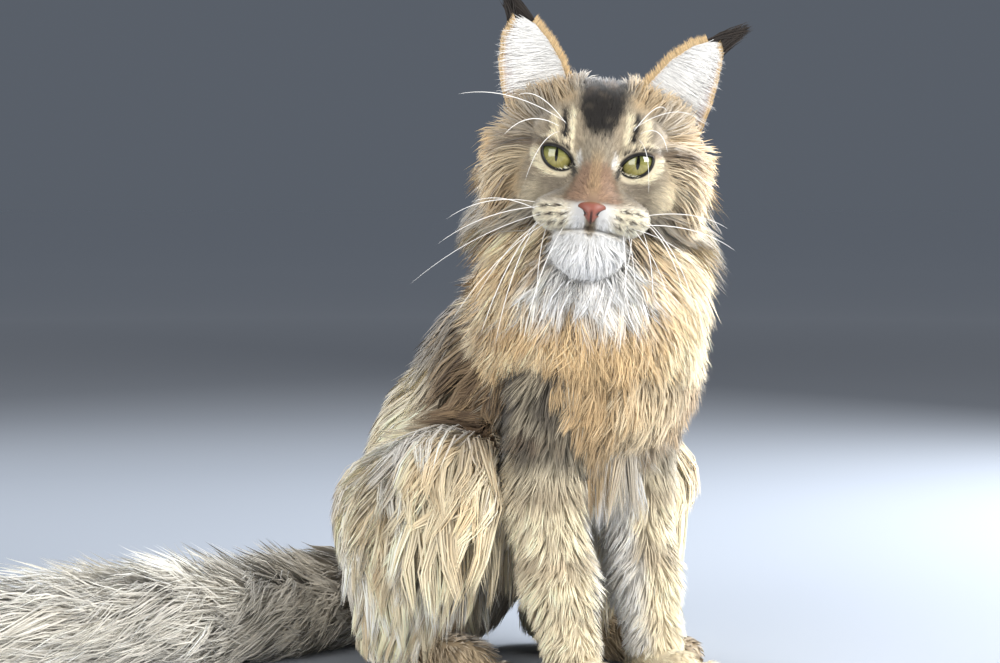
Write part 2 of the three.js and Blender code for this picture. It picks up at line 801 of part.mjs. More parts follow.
// Rows of locks on a part. Rays leave its spine at shares along it and angles round it.
function rowsOn(part, { along, lean = 0, from, to, count, length, width, rise, lie }) {
  const stations = fan(part.spine, { ...part.options, rings: 1, caps: [0, 0] });
  const curve = new THREE.CatmullRomCurve3(part.spine);
  const locks = [];
  along.forEach((u, row) => {
    const tangent = curve.getTangentAt(u);
    const side = tangent.clone().cross(part.options.up).normalize();
    const station = { ...stations[0], side, lift: side.clone().cross(tangent), lean: radians(lean) };
    for (let i = 0; i < count; i++) {
      const share = (i + 0.5 + 0.5 * (row % 2) - 0.25 + 0.2 * (random() - 0.5)) / count;
      const turn = from + (to - from) * share;
      const mirrored = part.name.endsWith("_left") ? 180 - turn : turn;
      const ray = rayOf(station, radians(mirrored));
      const root = leave(part.field, curve.getPointAt(u), ray, 0);
      if (wholeBody(root) < -2 || root.z < LOWEST_LOCK) continue;
      const path = lockPath(part.field, root, lie, length * jitter(0.18), rise * jitter(0.25));
      locks.push({ path, width: width * jitter(0.15) });
    }
  });
  return locks;
}

const faceForward = V(0, -1, 0).applyMatrix4(new THREE.Matrix4().extractRotation(headFrame));
const ruffLie = (p) => {
  const out = V(p.x - NECK_TOP.x, p.y - NECK_TOP.y, 0).normalize();
  return out.multiplyScalar(0.5).addScaledVector(faceForward, -0.25).add(V(0, 0, -1));
};
const chestLie = (p) => V(0.004 * p.x, 0.1, -1);
const flankLie = (p) => V(0.003 * p.x, 0.55, -0.85);
const britchesLie = (p) => V(0.002 * p.x, 0.75, -0.75);
const featherLie = () => V(0, 0.6, -0.8);
const tailLie = (p) => V(-0.95, (p.y - 232) * 0.012, p.z > 40 ? 0.05 : -0.2);

const ROWS = {
  neck: [
    { along: [0.2, 0.52, 0.84], from: 0, to: 360, count: 11, length: 70, width: 35, rise: 22, lie: ruffLie },
  ],
  torso_front: [
    { along: [0.05], lean: -30, from: 205, to: 335, count: 4, length: 60, width: 27, rise: 11, lie: chestLie },
    { along: [0.05], lean: -8, from: 205, to: 335, count: 5, length: 55, width: 27, rise: 11, lie: chestLie },
    { along: [0.35, 0.8], from: -20, to: 200, count: 7, length: 64, width: 32, rise: 12, lie: flankLie },
  ],
  torso_rear: [
    { along: [0.1, 0.34, 0.58], from: -10, to: 190, count: 6, length: 84, width: 43, rise: 15, lie: flankLie },
    { along: [0.8], from: 10, to: 170, count: 4, length: 60, width: 32, rise: 11, lie: flankLie },
  ],
  hindleg: [
    { along: [0.1, 0.5, 0.9], from: -75, to: 100, count: 5, length: 68, width: 36, rise: 13, lie: britchesLie },
  ],
  foreleg: [
    { along: [0.42, 0.66], from: 130, to: 230, count: 3, length: 40, width: 18, rise: 7, lie: featherLie },
  ],
  tail: [
    { along: [0.2, 0.7], from: -40, to: 220, count: 5, length: 84, width: 32, rise: 12, lie: tailLie },
  ],
};

// Cheek tufts lie back over the ruff, from the sides of the head.
function cheekLocks() {
  const lie = (p) => V(Math.sign(p.x) * 0.55, 0.45, -0.75);
  return [1, -1].flatMap((side) =>
    [[40, 2], [44, -14], [42, -30], [50, -4], [50, -20]].map(([x, z]) => {
      const root = leave(head.field, V(x * 0.5 * side, 22, z), V(side, 0.15, 0).normalize(), 0);
      const points = [root.clone().add(V(-LOCK_SINK * side, 0, 0))];
      const normals = [gradient(head.field, root)];
      const d = lie(root).normalize();
      for (let i = 1; i <= LOCK_WIDTHS.length; i++) {
        const p = root.clone().addScaledVector(d, (34 * jitter(0.15) * i) / LOCK_WIDTHS.length);
        const target = 9 * (i / LOCK_WIDTHS.length) ** 1.3;
        points.push(p.addScaledVector(gradient(head.field, p), Math.max(target - head.field(p), 0)));
        normals.push(normals[0]);
      }
      return { path: { points, normals }, width: 15 };
    }),
  );
}

// Ear hair: a tuft off the tip, and furnishings that sweep across the cup from its inner edge
function earLocks(part, side) {
  const tuft = (side > 0 ? EAR_EDGES.left : EAR_EDGES.right).tuft;
  const straight = (from, to, normal, sag, width) => {
    const points = [0, 0.33, 0.67, 1].map((t) =>
      from.clone().lerp(to, t).add(V(0, -sag * Math.sin(Math.PI * t), 0)),
    );
    return { path: { points, normals: points.map(() => normal) }, width };
  };
  const tips = [0.3, 0.5, 0.7].map((u, i) => {
    const from = part.surface(u, 0.93).add(V(0, EAR_THICKNESS / 2 - 1, 0));
    const reach = EAR_TUFT_LENGTH * (1 - 0.2 * Math.abs(i - 1));
    const to = from.clone().add(V(tuft[0], 0.06, tuft[1]).normalize().multiplyScalar(reach));
    return straight(from, to, V(0, -1, 0), 0, 7);
  });
  const inside = [0.22, 0.42, 0.62, 0.8].map((v) => {
    const from = part.surface(0.07, v).add(V(0, 1, 0));
    const to = part.surface(0.95, Math.min(v + 0.08, 0.97)).add(V(3 * side, -2, 2));
    return straight(from, to, V(0, -1, 0), 3, 13 * (1.15 - 0.5 * v));
  });
  return [...tips, ...inside];
}

function addLocks(solid, locks, grow) {
  if (!locks.length) return solid;
  return joined([solid, ...locks.map(({ path, width }) => lockSolid(path, width, grow))]);
}

function dressed(part) {
  const rows = ROWS[Object.keys(ROWS).find((k) => part.name.startsWith(k))] ?? [];
  const locks = rows.flatMap((row) => rowsOn(part, row));
  return {
    ...part,
    solid: addLocks(part.solid, locks, 0),
    cutter: filled(addLocks(part.cutter, locks, 2 * GAP)),
  };
}

const ears = [1, -1].map((side) => {
  const part = ear(side);
  const locks = earLocks(part, side);
  return {
    ...part,
    solid: addLocks(part.solid, locks, 0).subtract(head.closeCutter),
    cutter: addLocks(part.cutter, locks, 2 * GAP),
  };
});
const cheeks = cheekLocks();
const earCutters = joined(ears.map((part) => part.cutter));
const cheekHair = addLocks(head.solid, cheeks, 0).subtract(earCutters).add(head.solid);
const hairyHead = faceDetails(cheekHair);
head.cutter = addLocks(head.cutter, cheeks, 2 * GAP);
const headMesh = show(headGroup, "head", hairyHead, finish(colourFor("head")));
for (const side of [1, -1])
  show(headGroup, side > 0 ? "eye_left" : "eye_right", eyeball(side, 0), finish(EYE_GREEN, 0.1));
for (const part of ears) show(headGroup, part.name, part.solid, finish(COAT_PALE));

const placed = [head, ...ears].map(inBody);
const shown = [{ solid: solidOf(headMesh.geometry).transform(headFrame.elements) }];
for (const part of bodyParts.map(dressed)) {
  let solid = placed.reduce((s, other) => s.subtract(other.cutter), part.solid);
  solid = clearOf(filled(solid.subtract(UNDER_FLOOR)), shown);
  const mesh = show(cat, part.name, solid, finish(colourFor(part.name)));
  shown.push({ solid: solidOf(mesh.geometry) });
  placed.push(part);
}

// The part's origin is the middle of its bounding box, on the floor.
cat.updateMatrixWorld(true);
const bounds = new THREE.Box3().setFromObject(cat, true);
const middle = bounds.getCenter(V(0, 0, 0));
cat.position.set(-middle.x, -middle.y, -bounds.min.z);

export default cat;
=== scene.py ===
import math
import bpy
import numpy as np
from mathutils import Matrix, Vector, kdtree


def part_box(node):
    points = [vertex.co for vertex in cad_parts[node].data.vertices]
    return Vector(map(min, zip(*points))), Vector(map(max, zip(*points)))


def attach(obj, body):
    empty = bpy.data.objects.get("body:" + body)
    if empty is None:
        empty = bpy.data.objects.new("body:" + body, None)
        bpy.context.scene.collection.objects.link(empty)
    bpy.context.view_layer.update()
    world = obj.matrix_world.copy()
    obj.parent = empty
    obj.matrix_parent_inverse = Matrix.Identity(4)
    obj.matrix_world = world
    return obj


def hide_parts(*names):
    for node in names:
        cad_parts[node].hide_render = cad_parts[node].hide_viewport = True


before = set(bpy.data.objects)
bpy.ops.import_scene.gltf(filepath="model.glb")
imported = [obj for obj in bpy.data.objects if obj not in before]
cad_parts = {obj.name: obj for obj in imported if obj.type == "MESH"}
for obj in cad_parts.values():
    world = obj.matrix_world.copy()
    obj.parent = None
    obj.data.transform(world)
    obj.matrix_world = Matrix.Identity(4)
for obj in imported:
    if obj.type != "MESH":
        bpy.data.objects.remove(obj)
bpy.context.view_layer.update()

rng = np.random.default_rng(11)
bpy.ops.object.select_all(action="DESELECT")

# Skin
# The hide under the hair, over muscle and fat. It is one smooth surface round the same masses
# as the solids, with the eyes' openings, the mouth and the ears shaped in it, and it stands for
# every solid but the eyes. The coat's pieces are rooted on it.

# The figure is measured in millimetres from the floor between its forelegs, with the body
# facing -Y, as the solids are, and p stands for points in this measure. The head has its own,
# from between its eyes and turned with it, and q stands for points in that. The left eye's solid
# says where all this is in metres.
HEAD_AT = np.array([-24.5, -26.5, 333.0])
HEAD_YAW, HEAD_TILT = math.radians(-38), math.radians(6)
HEAD_TURN = np.array(Matrix.Rotation(HEAD_YAW, 3, "Z") @ Matrix.Rotation(HEAD_TILT, 3, "Y"))
EYE_X, EYE_Y, EYE_R = 24.5, -1.5, 12.0


def unit(a):
    return a / np.maximum(np.linalg.norm(a, axis=-1, keepdims=True), 1e-9)


def to_head(p):
    return (p - HEAD_AT) @ HEAD_TURN


def from_head(q):
    return q @ HEAD_TURN.T + HEAD_AT


eye_low, eye_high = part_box("eye_left")
ORIGIN = np.array((eye_low + eye_high) / 2) - from_head(np.array([EYE_X, EYE_Y, 0.0])) / 1000


def row(p):
    return np.asarray(p) / 1000 + ORIGIN


# A mass is a limb between two points, thick r0 and r1 there, or a ball with three radii. It has
# the part it belongs to and the coat's depth over it. Masses of one part melt into each other
# over the part's blend, and parts over a seam.
TORSO, NECK, FORELEG, FOREPAW, HINDLEG, HINDFOOT, TAIL, HEAD = PARTS = range(8)
BLENDS = {TORSO: 26, NECK: 20, FORELEG: 14, FOREPAW: 5, HINDLEG: 20, HINDFOOT: 6, TAIL: 14,
          HEAD: 9}
SEAM, FOOT_SEAM = 10, 3
TOE_SPREAD = 13.5
masses = []


def limb(part, a, b, r0, r1, coat):
    masses.append((part, np.array(a, float), np.array(b, float), (r0, r1), coat))


def ball(part, at, radii, coat):
    masses.append((part, np.array(at, float), None, np.array(radii, float), coat))


# Chest, ribs and rump, the neck, and the tail along the floor
limb(TORSO, (0, 2, 205), (0, 62, 192), 42, 54, 22)
limb(TORSO, (0, 62, 192), (0, 128, 135), 54, 58, 17)
limb(TORSO, (0, 128, 135), (0, 188, 58), 58, 50, 17)
limb(NECK, (8, 24, 296), (2, 12, 236), 40, 46, 34)
TAIL_LINE = np.array([(0, 205, 52), (-42, 234, 34), (-112, 230, 28), (-190, 226, 31),
                      (-268, 238, 32), (-340, 262, 30)], float)
TAIL_RADII, TAIL_COATS = (15, 13, 11, 9, 6.5, 4), (22, 26, 36, 40, 40)
for i, coat in enumerate(TAIL_COATS):
    limb(TAIL, TAIL_LINE[i], TAIL_LINE[i + 1], TAIL_RADII[i], TAIL_RADII[i + 1], coat)
# Each side's foreleg, forepaw, haunch, shank and hindfoot, with four toes to a foot
for s in (-1, 1):
    limb(FORELEG, (33 * s, 0, 196), (34 * s, 15, 130), 25, 21, 12)
    limb(FORELEG, (34 * s, 15, 130), (33.4 * s, -1, 71), 21, 16, 12)
    limb(FORELEG, (33.4 * s, -1, 71), (33 * s, -12, 32), 16, 15, 9)
    limb(FOREPAW, (33 * s, -12, 32), (33 * s, -10, 14), 14.5, 13, 5)
    limb(FOREPAW, (33 * s, -10, 14), (33 * s, -36, 13), 13.5, 13, 3)
    limb(HINDLEG, (43 * s, 158, 90), (59.5 * s, 113, 101), 33, 40, 16)
    limb(HINDLEG, (59.5 * s, 113, 101), (68 * s, 60, 128), 40, 30, 16)
    limb(HINDLEG, (68 * s, 60, 128), (67 * s, 96, 82), 28, 24, 16)
    limb(HINDLEG, (67 * s, 96, 82), (66 * s, 140, 26), 24, 16, 12)
    limb(HINDFOOT, (66 * s, 140, 20), (74 * s, 42, 17), 14, 15, 8)
    for place in (-1, -0.34, 0.34, 1):
        forward = -4 - 7 * (1 - abs(place))
        ball(FOREPAW, (33 * s + TOE_SPREAD * place, -48 + forward, 10.5), (7.6, 13, 9.5), 2.5)
        ball(HINDFOOT, (74 * s + TOE_SPREAD * place, 26 + forward, 10.5), (7.6, 13, 9.5), 2.5)
    # Brow, cheek, cheekbone, temple, whisker pad and the lids round the eye
    ball(HEAD, (22 * s, 8, 14), (17, 13, 10), 3)
    ball(HEAD, (31 * s, 20, -15), (19, 27, 20), 8)
    ball(HEAD, (24 * s, 6, -15), (16, 13, 13), 3)
    ball(HEAD, (36 * s, 38, 10), (19, 24, 25), 6)
    ball(HEAD, (17 * s, -17.5, -34.5), (17, 13.5, 11), 3)
    ball(HEAD, (EYE_X * s, EYE_Y + 0.5, 0), (13.2, 13.2, 13.2), 1)
# Skull, face, muzzle, bridge of the nose, jaw and chin
ball(HEAD, (0, 40, 14), (42, 46, 33), 5)
ball(HEAD, (0, 17, -4), (44, 23, 30), 4)
limb(HEAD, (0, 15, -20), (0, -12, -31), 29, 20, 3)
limb(HEAD, (0, 0, 6), (0, -27, -24), 12, 9.5, 1.5)
limb(HEAD, (0, 25, -46), (0, -10, -52), 21, 16, 4)
ball(HEAD, (0, -15.5, -53), (19, 11, 10.5), 3)


def distance(mass, p):
    """How far outside one mass points are (negative inside)."""
    _, a, b, r, _ = mass
    if b is None:
        off = p - a
        reach = np.linalg.norm(off / r, axis=1)
        return reach * (reach - 1) / np.maximum(np.linalg.norm(off / r ** 2, axis=1), 1e-9)
    ab = b - a
    t = np.clip((p - a) @ ab / (ab @ ab), 0, 1)
    return np.linalg.norm(p - a - t[:, None] * ab, axis=1) - (r[0] + (r[1] - r[0]) * t)


def soft_min(a, b, blend):
    near = np.maximum(blend - np.abs(a - b), 0) / blend
    return np.minimum(a, b) - near * near * blend / 4


def field(p):
    """How far outside the skin points are (negative inside)."""
    far_off = 1e3
    q = to_head(p)
    whole = np.full(len(p), far_off)
    for part in PARTS:
        here = np.full(len(p), far_off)
        for mass in masses:
            if mass[0] == part:
                here = soft_min(here, distance(mass, q if part == HEAD else p), BLENDS[part])
        whole = soft_min(whole, here, FOOT_SEAM if part in (FOREPAW, HINDFOOT) else SEAM)
    return whole


def normals_of(p, step=0.6):
    steps = np.eye(3) * step
    return unit(np.stack([field(p + s) - field(p - s) for s in steps], axis=1))


def coat_and_part(p):
    """The coat's depth at points on the skin, and the part each is on."""
    farthest, melt = 200, 7
    q = to_head(p)
    d = np.stack([distance(m, q if m[0] == HEAD else p) for m in masses])
    w = np.exp(-np.clip(d - d.min(0), 0, farthest) / melt)
    depth = (w * np.array([m[4] for m in masses])[:, None]).sum(0) / w.sum(0)
    return depth, np.array([m[0] for m in masses])[d.argmin(0)]


# The markings: one function gives the colour anywhere on the animal, and skin and coat both
# take theirs from it. Colours are named as they look, then made linear.
def paint(r, g, b):
    return (np.array([r, g, b]) / 255) ** 2.2


WHITE, CREAM, SILVER = paint(246, 244, 240), paint(242, 227, 194), paint(226, 222, 212)
GOLD, TAN, UMBER = paint(214, 184, 138), paint(188, 160, 120), paint(122, 98, 74)
TAUPE, GREY, DARK = paint(164, 152, 132), paint(122, 112, 98), paint(50, 42, 36)
BLACK, ROSE, RUST = paint(24, 21, 20), paint(176, 106, 90), paint(156, 124, 100)


def ramp(x, a, b):
    """Goes smoothly from 0 at a to 1 at b."""
    t = np.clip((x - a) / (b - a), 0, 1)
    return t * t * (3 - 2 * t)


def band(x, a, b, soft):
    """1 between a and b, with soft edges, and 0 outside."""
    return ramp(x, a - soft, a + soft) * (1 - ramp(x, b - soft, b + soft))


def wobble(p, size):
    """Smooth unevenness from about -1 to 1, in patches of about the size given."""
    s = p / size
    return (np.sin(s[:, 0] * 1.7 + 1.3 * np.sin(s[:, 1] * 1.1)) + np.sin(s[:, 1] * 2.3 + s[:, 2])
            + np.sin(s[:, 2] * 1.9 + 1.7 * np.sin(s[:, 0] * 0.9))) / 3


# Each lid is an arc, with its radius and its centre's height, in a frame that slants outwards
LID_SLANT, LID_SHIFT_X, LID_SHIFT_Z = math.radians(27), 0.6, 0.3
UPPER_LID, LOWER_LID = (15.2, -10.7), (11.4, 3.6)
LIP_Z, LIP_DROP, LIP_HALF = -42.0, 4.0, 24


def almond(q, side):
    """How far inside the eye's opening a point is, seen from in front (negative outside)."""
    x, z = q[:, 0] * side - EYE_X + LID_SHIFT_X, q[:, 2] + LID_SHIFT_Z
    cos, sin = math.cos(LID_SLANT), math.sin(LID_SLANT)
    u, v = x * cos + z * sin, -x * sin + z * cos
    upper = UPPER_LID[0] - np.hypot(u, v - UPPER_LID[1])
    lower = LOWER_LID[0] - np.hypot(u, v - LOWER_LID[1])
    return np.minimum(upper, lower)


def above_lips(x, z):
    """Height over the line where the lips meet, which drops towards its ends."""
    return z - (LIP_Z - LIP_DROP * np.clip(np.abs(x) / LIP_HALF, 0, 1) ** 2)


SPOT_ROWS = ((-25.5, 16, 26), (-29.5, 14, 31), (-34, 13, 31), (-38.5, 14, 28))
SPOT_GAP, ROW_SLOPE = 7, 0.12


def spots(x, z):
    """The dark rows on the whisker pads, each at its height from its first to its last spot."""
    mark = np.zeros(len(x))
    for line, (height, first, last) in enumerate(SPOT_ROWS):
        slope = height - ROW_SLOPE * (np.abs(x) - 15)
        dots = ramp(np.cos((np.abs(x) - first) * 2 * math.pi / SPOT_GAP + 1.7 * line), -0.9, 0.1)
        mark = np.maximum(mark, band(z, slope - 1.0, slope + 1.0, 0.4)
                          * band(np.abs(x), first, last, 1.5) * dots)
    return mark


def face_colour(q, c):
    """Lays the head's markings over the colours c, given places in the head's measures."""
    x, y, z = q.T
    ax = np.abs(x)
    w = wobble(q, 9)

    def lay(colour, mask):
        nonlocal c
        c = c + (colour - c) * np.clip(mask, 0, 1)[:, None]

    # Ground colours of brow, cheeks and sides
    front = 1 - ramp(y, 16, 34)
    lay(TAUPE, front * 0.85)
    lay(GREY, band(ax, 15, 38, 5) * band(z, -26, -11, 4) * front * 0.65)
    lay(CREAM, band(ax, 30, 46, 5) * band(z, -34, -12, 6) * ramp(w, -0.6, 0.5) * 0.6)
    lay(GOLD, ramp(ax + 2 * w, 36, 46) * (1 - ramp(z, 10, 30)) * 0.9)
    lay(CREAM, ramp(ax, 32, 42) * (1 - ramp(z, -8, 14)) * ramp(w, -0.7, 0.4) * 0.6)
    lay(TAUPE, ramp(z, 24, 40) * 0.6)
    lay(GOLD, band(ax, 17, 40, 4) * ramp(z, 24, 34) * 0.75)
    # Dark crown patch with flecked edges, and the pale and dark stripes beside it
    fleck = wobble(q, 3.2)
    patch = np.clip(1.5 + 0.5 * (z - 5), 0, 12) + 1.5 * fleck
    lay(BLACK * 1.3, (1 - ramp(np.abs(x + 1.2 * w), patch - 1, patch + 4)) * ramp(z, 4, 12)
        * (0.98 - 0.1 * ramp(fleck, 0.3, 0.8)))
    lay(UMBER, band(x, -12, 12, 4) * ramp(z, 30, 44) * ramp(fleck, -0.2, 0.6) * 0.5)
    lay(CREAM, band(ax - 0.06 * z, 13.0, 16.6, 0.9) * band(z, 6, 26, 2.5) * front)
    lay(BLACK, band(ax - 0.06 * z, 17.6, 20.6, 0.8) * band(z, 7, 26, 2.5) * front)
    lay(CREAM, band(ax - 0.1 * z, 22, 27, 1.5) * band(z, 9, 24, 3) * front * 0.85)
    lay(DARK, band(ax - 0.1 * z, 27.5, 29.5, 0.8) * band(z, 12, 24, 3) * front * 0.5)
    # Round each eye: pale surround, dark lid line, inner corner and the line to the cheek
    for side in (-1, 1):
        inside = almond(q, side)
        near = (x * side > 4) & (y < 20)
        below = 1 - ramp(z - 0.5 * (x * side - EYE_X), 1, 5)
        lay(CREAM, near * band(inside, -4.6, -1.4, 0.9) * below)
        lay(CREAM, near * band(inside, -4.5, -2.2, 0.9) * (1 - below) * 0.7)
        lay(BLACK, near * ramp(inside, -1.7 - 1.3 * (1 - below), -0.9))
        lay(DARK, near * band(x * side, 30, 40, 2) * band(z - 0.35 * (x * side - 33), 5, 8.5, 1.2)
            * 0.7)
        corner = np.hypot(x * side - 13.0 - 0.1 * z, (z + 9.5) / 3.2)
        lay(BLACK, near * (1 - ramp(corner, 0.8, 2.2)) * 0.95)
        lay(WHITE, near * (1 - ramp(np.hypot(x * side - 9.8, (z + 3) / 2.8), 1.0, 2.2)) * 0.7)
        lay(UMBER, near * band(x * side, 33, 44, 3) * band(z - 0.2 * (x * side - 33), 3, 7, 1.5)
            * 0.7)
    # Bridge of the nose, rusty with darker edges
    lay(TAUPE, (1 - ramp(ax, 6, 10)) * band(z, -4, 12, 4) * front * 0.8)
    wide = 6.5 - 0.35 * (z + 8)
    lay(RUST, (1 - ramp(ax, wide, wide + 3)) * band(z, -28, -5, 4) * front * 0.9)
    lay(UMBER, band(ax, wide, wide + 3, 1.3) * band(z, -28, -12, 3) * front * 0.75)
    lay(TAN, (1 - ramp(ax, 1.5, 4)) * band(z, -22, 2, 4) * front * 0.5)
    # White pads with rows of spots, white chin, the lips' dark line and the groove's painted shade
    muzzle = (1 - ramp(y, -10, 2)) * band(z, -50, -27 - 0.05 * ax, 2.5) * ramp(ax, 2, 5)
    lay(WHITE, muzzle * 0.95)
    lay(CREAM, muzzle * band(ax, 12, 40, 4) * 0.85)
    for side in (-1, 1):
        lay(DARK, muzzle * (x * side > 0) * spots(x, z))
    lay(WHITE, (1 - ramp(z, -47, -43)) * (1 - ramp(ax, 20, 28)) * (1 - ramp(y, 6, 24)))
    lip = above_lips(x, z)
    # The lips' line is darkened, partly their own dark edge and partly painted shade in the mouth's
    # crease.
    lay(DARK, (1 - ramp(np.abs(lip), 0.6, 2.0)) * (1 - ramp(ax, 14, 24)) * (y < -8) * 0.65)
    # The groove under the nose is darkened as painted shade.
    lay(UMBER, (1 - ramp(ax, 0.3, 1.1)) * band(z, -42, -38, 1) * (y < -20) * 0.7)
    return c


def colour_at(p, part):
    """The coat's colour at points of the figure, given the part that each is on."""
    q = to_head(p)
    w, fine = wobble(p, 21), wobble(p, 8)
    n = len(p)
    c = np.tile(TAN, (n, 1))
    x, y, z = p.T

    def lay(colour, mask):
        nonlocal c
        c = c + (colour - c) * np.clip(mask, 0, 1)[:, None]

    # Torso: grey back, cream flank tuft, dark low side, pale chest
    back = ramp(y + 0.25 * z, 90, 130)
    lay(TAUPE, (part == TORSO) * back * 0.9)
    lay(GREY, (part == TORSO) * back * ramp(w, -0.6, 0.3) * 0.8)
    lay(CREAM, (part == TORSO) * band(z, 158, 224, 10) * ramp(-x, 12, 36) * band(y, 72, 150, 14))
    low_side = (part == TORSO) * (1 - back) * ramp(np.abs(x), 20, 40) * ramp(y, 5, 25)
    lay(UMBER * 0.6, low_side * (0.6 + 0.4 * ramp(fine + w, -0.3, 0.5)))
    lay(CREAM, (part == TORSO) * (1 - ramp(np.abs(x - 4), 8, 24)) * (1 - ramp(y, 0, 30)) * 0.55)
    lay(WHITE, (part == TORSO) * (1 - ramp(np.abs(x - 2), 6, 16)) * (1 - ramp(z, 172, 192)) * (y < 20))
    lay(UMBER, (part == TORSO) * (1 - back) * ramp(np.sin(z / 7 + x / 30 + w), 0.3, 0.9) * 0.2)
    # Neck: golden ruff with darker and paler locks, and the white bib under the chin
    lay(GOLD, (part == NECK) * 0.9)
    lay(UMBER, (part == NECK) * ramp(fine + 0.6 * w, 0.3, 1.0) * 0.4)
    lay(CREAM, (part == NECK) * ramp(np.sin(x / 9 + 2 * w) + fine, 0.4, 1.2) * 0.6)
    # The ruff is laid paler on the cat's left, the side towards the lamps: painted light.
    lay(CREAM, (part == NECK) * ramp(q[:, 0], 20, 45) * 0.6)
    facing = -(q[:, 1] - 30) / 60
    lay(WHITE, (part != HEAD) * ramp(facing, 0.0, 0.4) * (1 - ramp(np.abs(q[:, 0]) + 6 * w, 14, 27))
        * band(q[:, 2], -78, -40, 7))
    # Forelegs and paws: cream, with grey shoulders and faint bars
    lay(CREAM, (part == FORELEG) * 0.9)
    shoulder = (part == FORELEG) * ramp(z + 6 * w, 128, 170) * ramp(np.abs(x) - 0.3 * y, 22, 40)
    lay(GREY * 0.75, shoulder * (0.65 + 0.35 * ramp(fine, -0.2, 0.5)))
    lay(UMBER, (part == FORELEG) * ramp(np.sin(z / 6.5 + 0.8 * w), 0.35, 0.85) * band(z, 60, 185, 20)
        * ramp(-y + 20, 0, 20) * 0.4)
    lay(WHITE, (part == FORELEG) * (1 - ramp(np.abs(x), 18, 27)) * 0.8)
    lay(CREAM, (part == FOREPAW) * 0.9)
    lay(TAUPE, (part == FOREPAW) * ramp(fine, 0.2, 0.8) * 0.3)
    # Haunches and hindfeet: cream and gold locks, grey behind
    lay(CREAM, (part == HINDLEG) * 0.95)
    lay(GOLD, (part == HINDLEG) * ramp(w + 0.5 * fine, 0, 0.7) * 0.55)
    lay(WHITE, (part == HINDLEG) * ramp(np.sin(y / 8 - z / 11 + 2.5 * w), 0.3, 0.9) * 0.55)
    lay(GREY, (part == HINDLEG) * ramp(y + 0.3 * z + 6 * w, 170, 200) * 0.85)
    lay(TAUPE, (part == HINDFOOT) * 0.5)
    lay(GREY, (part == HINDFOOT) * ramp(fine, 0, 0.8) * 0.35)
    # Tail: silvery, darker near its root
    lay(SILVER, (part == TAIL) * 0.97)
    lay(TAUPE, (part == TAIL) * (1 - ramp(-x, 50, 150)) * 0.55)
    lay(TAUPE, (part == TAIL) * ramp(fine, 0.1, 0.8) * 0.2)
    on_head = part == HEAD
    if on_head.any():
        c[on_head] = face_colour(q[on_head], c[on_head])
    return c


# Every surface takes its colour from the vertex attribute "coat"
def material(name, roughness, sheen=0.0, gloss=0.0, ior=1.45):
    m = bpy.data.materials.new(name)
    m.use_nodes = True
    nodes = m.node_tree.nodes
    shader = nodes["Principled BSDF"]
    colour = nodes.new("ShaderNodeAttribute")
    colour.attribute_name = "coat"
    m.node_tree.links.new(colour.outputs["Color"], shader.inputs["Base Color"])
    shader.inputs["Roughness"].default_value = roughness
    shader.inputs["Sheen Weight"].default_value = sheen
    shader.inputs["Coat Weight"].default_value = gloss
    shader.inputs["Coat Roughness"].default_value = 0.03
    shader.inputs["IOR"].default_value = ior
    return m


SKIN = material("skin", 0.75)


def put_colours(mesh, colours):
    layer = mesh.color_attributes.get("coat") or mesh.color_attributes.new(
        name="coat", type="FLOAT_COLOR", domain="POINT")
    rgba = np.ones((len(mesh.vertices), 4), np.float32)
    rgba[:, :3] = colours
    layer.data.foreach_set("color", rgba.ravel())


def coords(mesh):
    a = np.empty(len(mesh.vertices) * 3)
    mesh.vertices.foreach_get("co", a)
    return a.reshape(-1, 3)


# Spheres along every mass are joined and remeshed, made finer on the face and round the eyes,
# and drawn on to the smooth surface.
SPHERE_GAP = 0.35
VOXEL = 0.0034


def sphere(at, radii):
    bpy.ops.mesh.primitive_uv_sphere_add(segments=20, ring_count=12, radius=1,
                                         location=[float(v) / 1000 for v in at])
    bpy.context.object.scale = [float(v) / 1000 for v in radii]
    return bpy.context.object


spheres = []
for part, a, b, r, _ in masses:
    if b is None:
        at = from_head(a) if part == HEAD else a
        spheres.append(sphere(at, r))
        if part == HEAD:
            spheres[-1].rotation_euler = Matrix(HEAD_TURN.tolist()).to_euler()
    else:
        count = max(2, int(np.linalg.norm(b - a) / (SPHERE_GAP * max(r))) + 1)
        for t in np.linspace(0, 1, count):
            at = a + (b - a) * t
            radius = r[0] + (r[1] - r[0]) * t
            spheres.append(sphere(from_head(at) if part == HEAD else at, (radius,) * 3))
bpy.ops.object.select_all(action="DESELECT")
for o in spheres:
    o.select_set(True)
bpy.context.view_layer.objects.active = spheres[0]
bpy.ops.object.join()
skin = bpy.context.object
skin.name = "skin"
bpy.ops.object.transform_apply(location=True, rotation=True, scale=True)
remesh = skin.modifiers.new("remesh", "REMESH")
remesh.mode = "VOXEL"
remesh.voxel_size = VOXEL
bpy.ops.object.modifier_apply(modifier="remesh")


def on_surface(p, passes=3):
    """Draws points on to the smooth surface, each pass closer."""
    for _ in range(passes):
        p = p - field(p)[:, None] * normals_of(p)
    return p


def refine(chosen):
    """Divides the skin's faces whose corners are all chosen."""
    mesh = skin.data
    mesh.vertices.foreach_set("select", chosen)
    for item in (*mesh.edges, *mesh.polygons):
        item.select = all(chosen[i] for i in item.vertices)
    bpy.ops.object.mode_set(mode="EDIT")
    bpy.ops.mesh.select_mode(type="FACE")
    bpy.ops.mesh.subdivide(number_cuts=1)
    bpy.ops.object.mode_set(mode="OBJECT")


def store(p):
    """Puts points in millimetres into the skin's mesh."""
    skin.data.vertices.foreach_set("co", (p / 1000).ravel())
    skin.data.update()


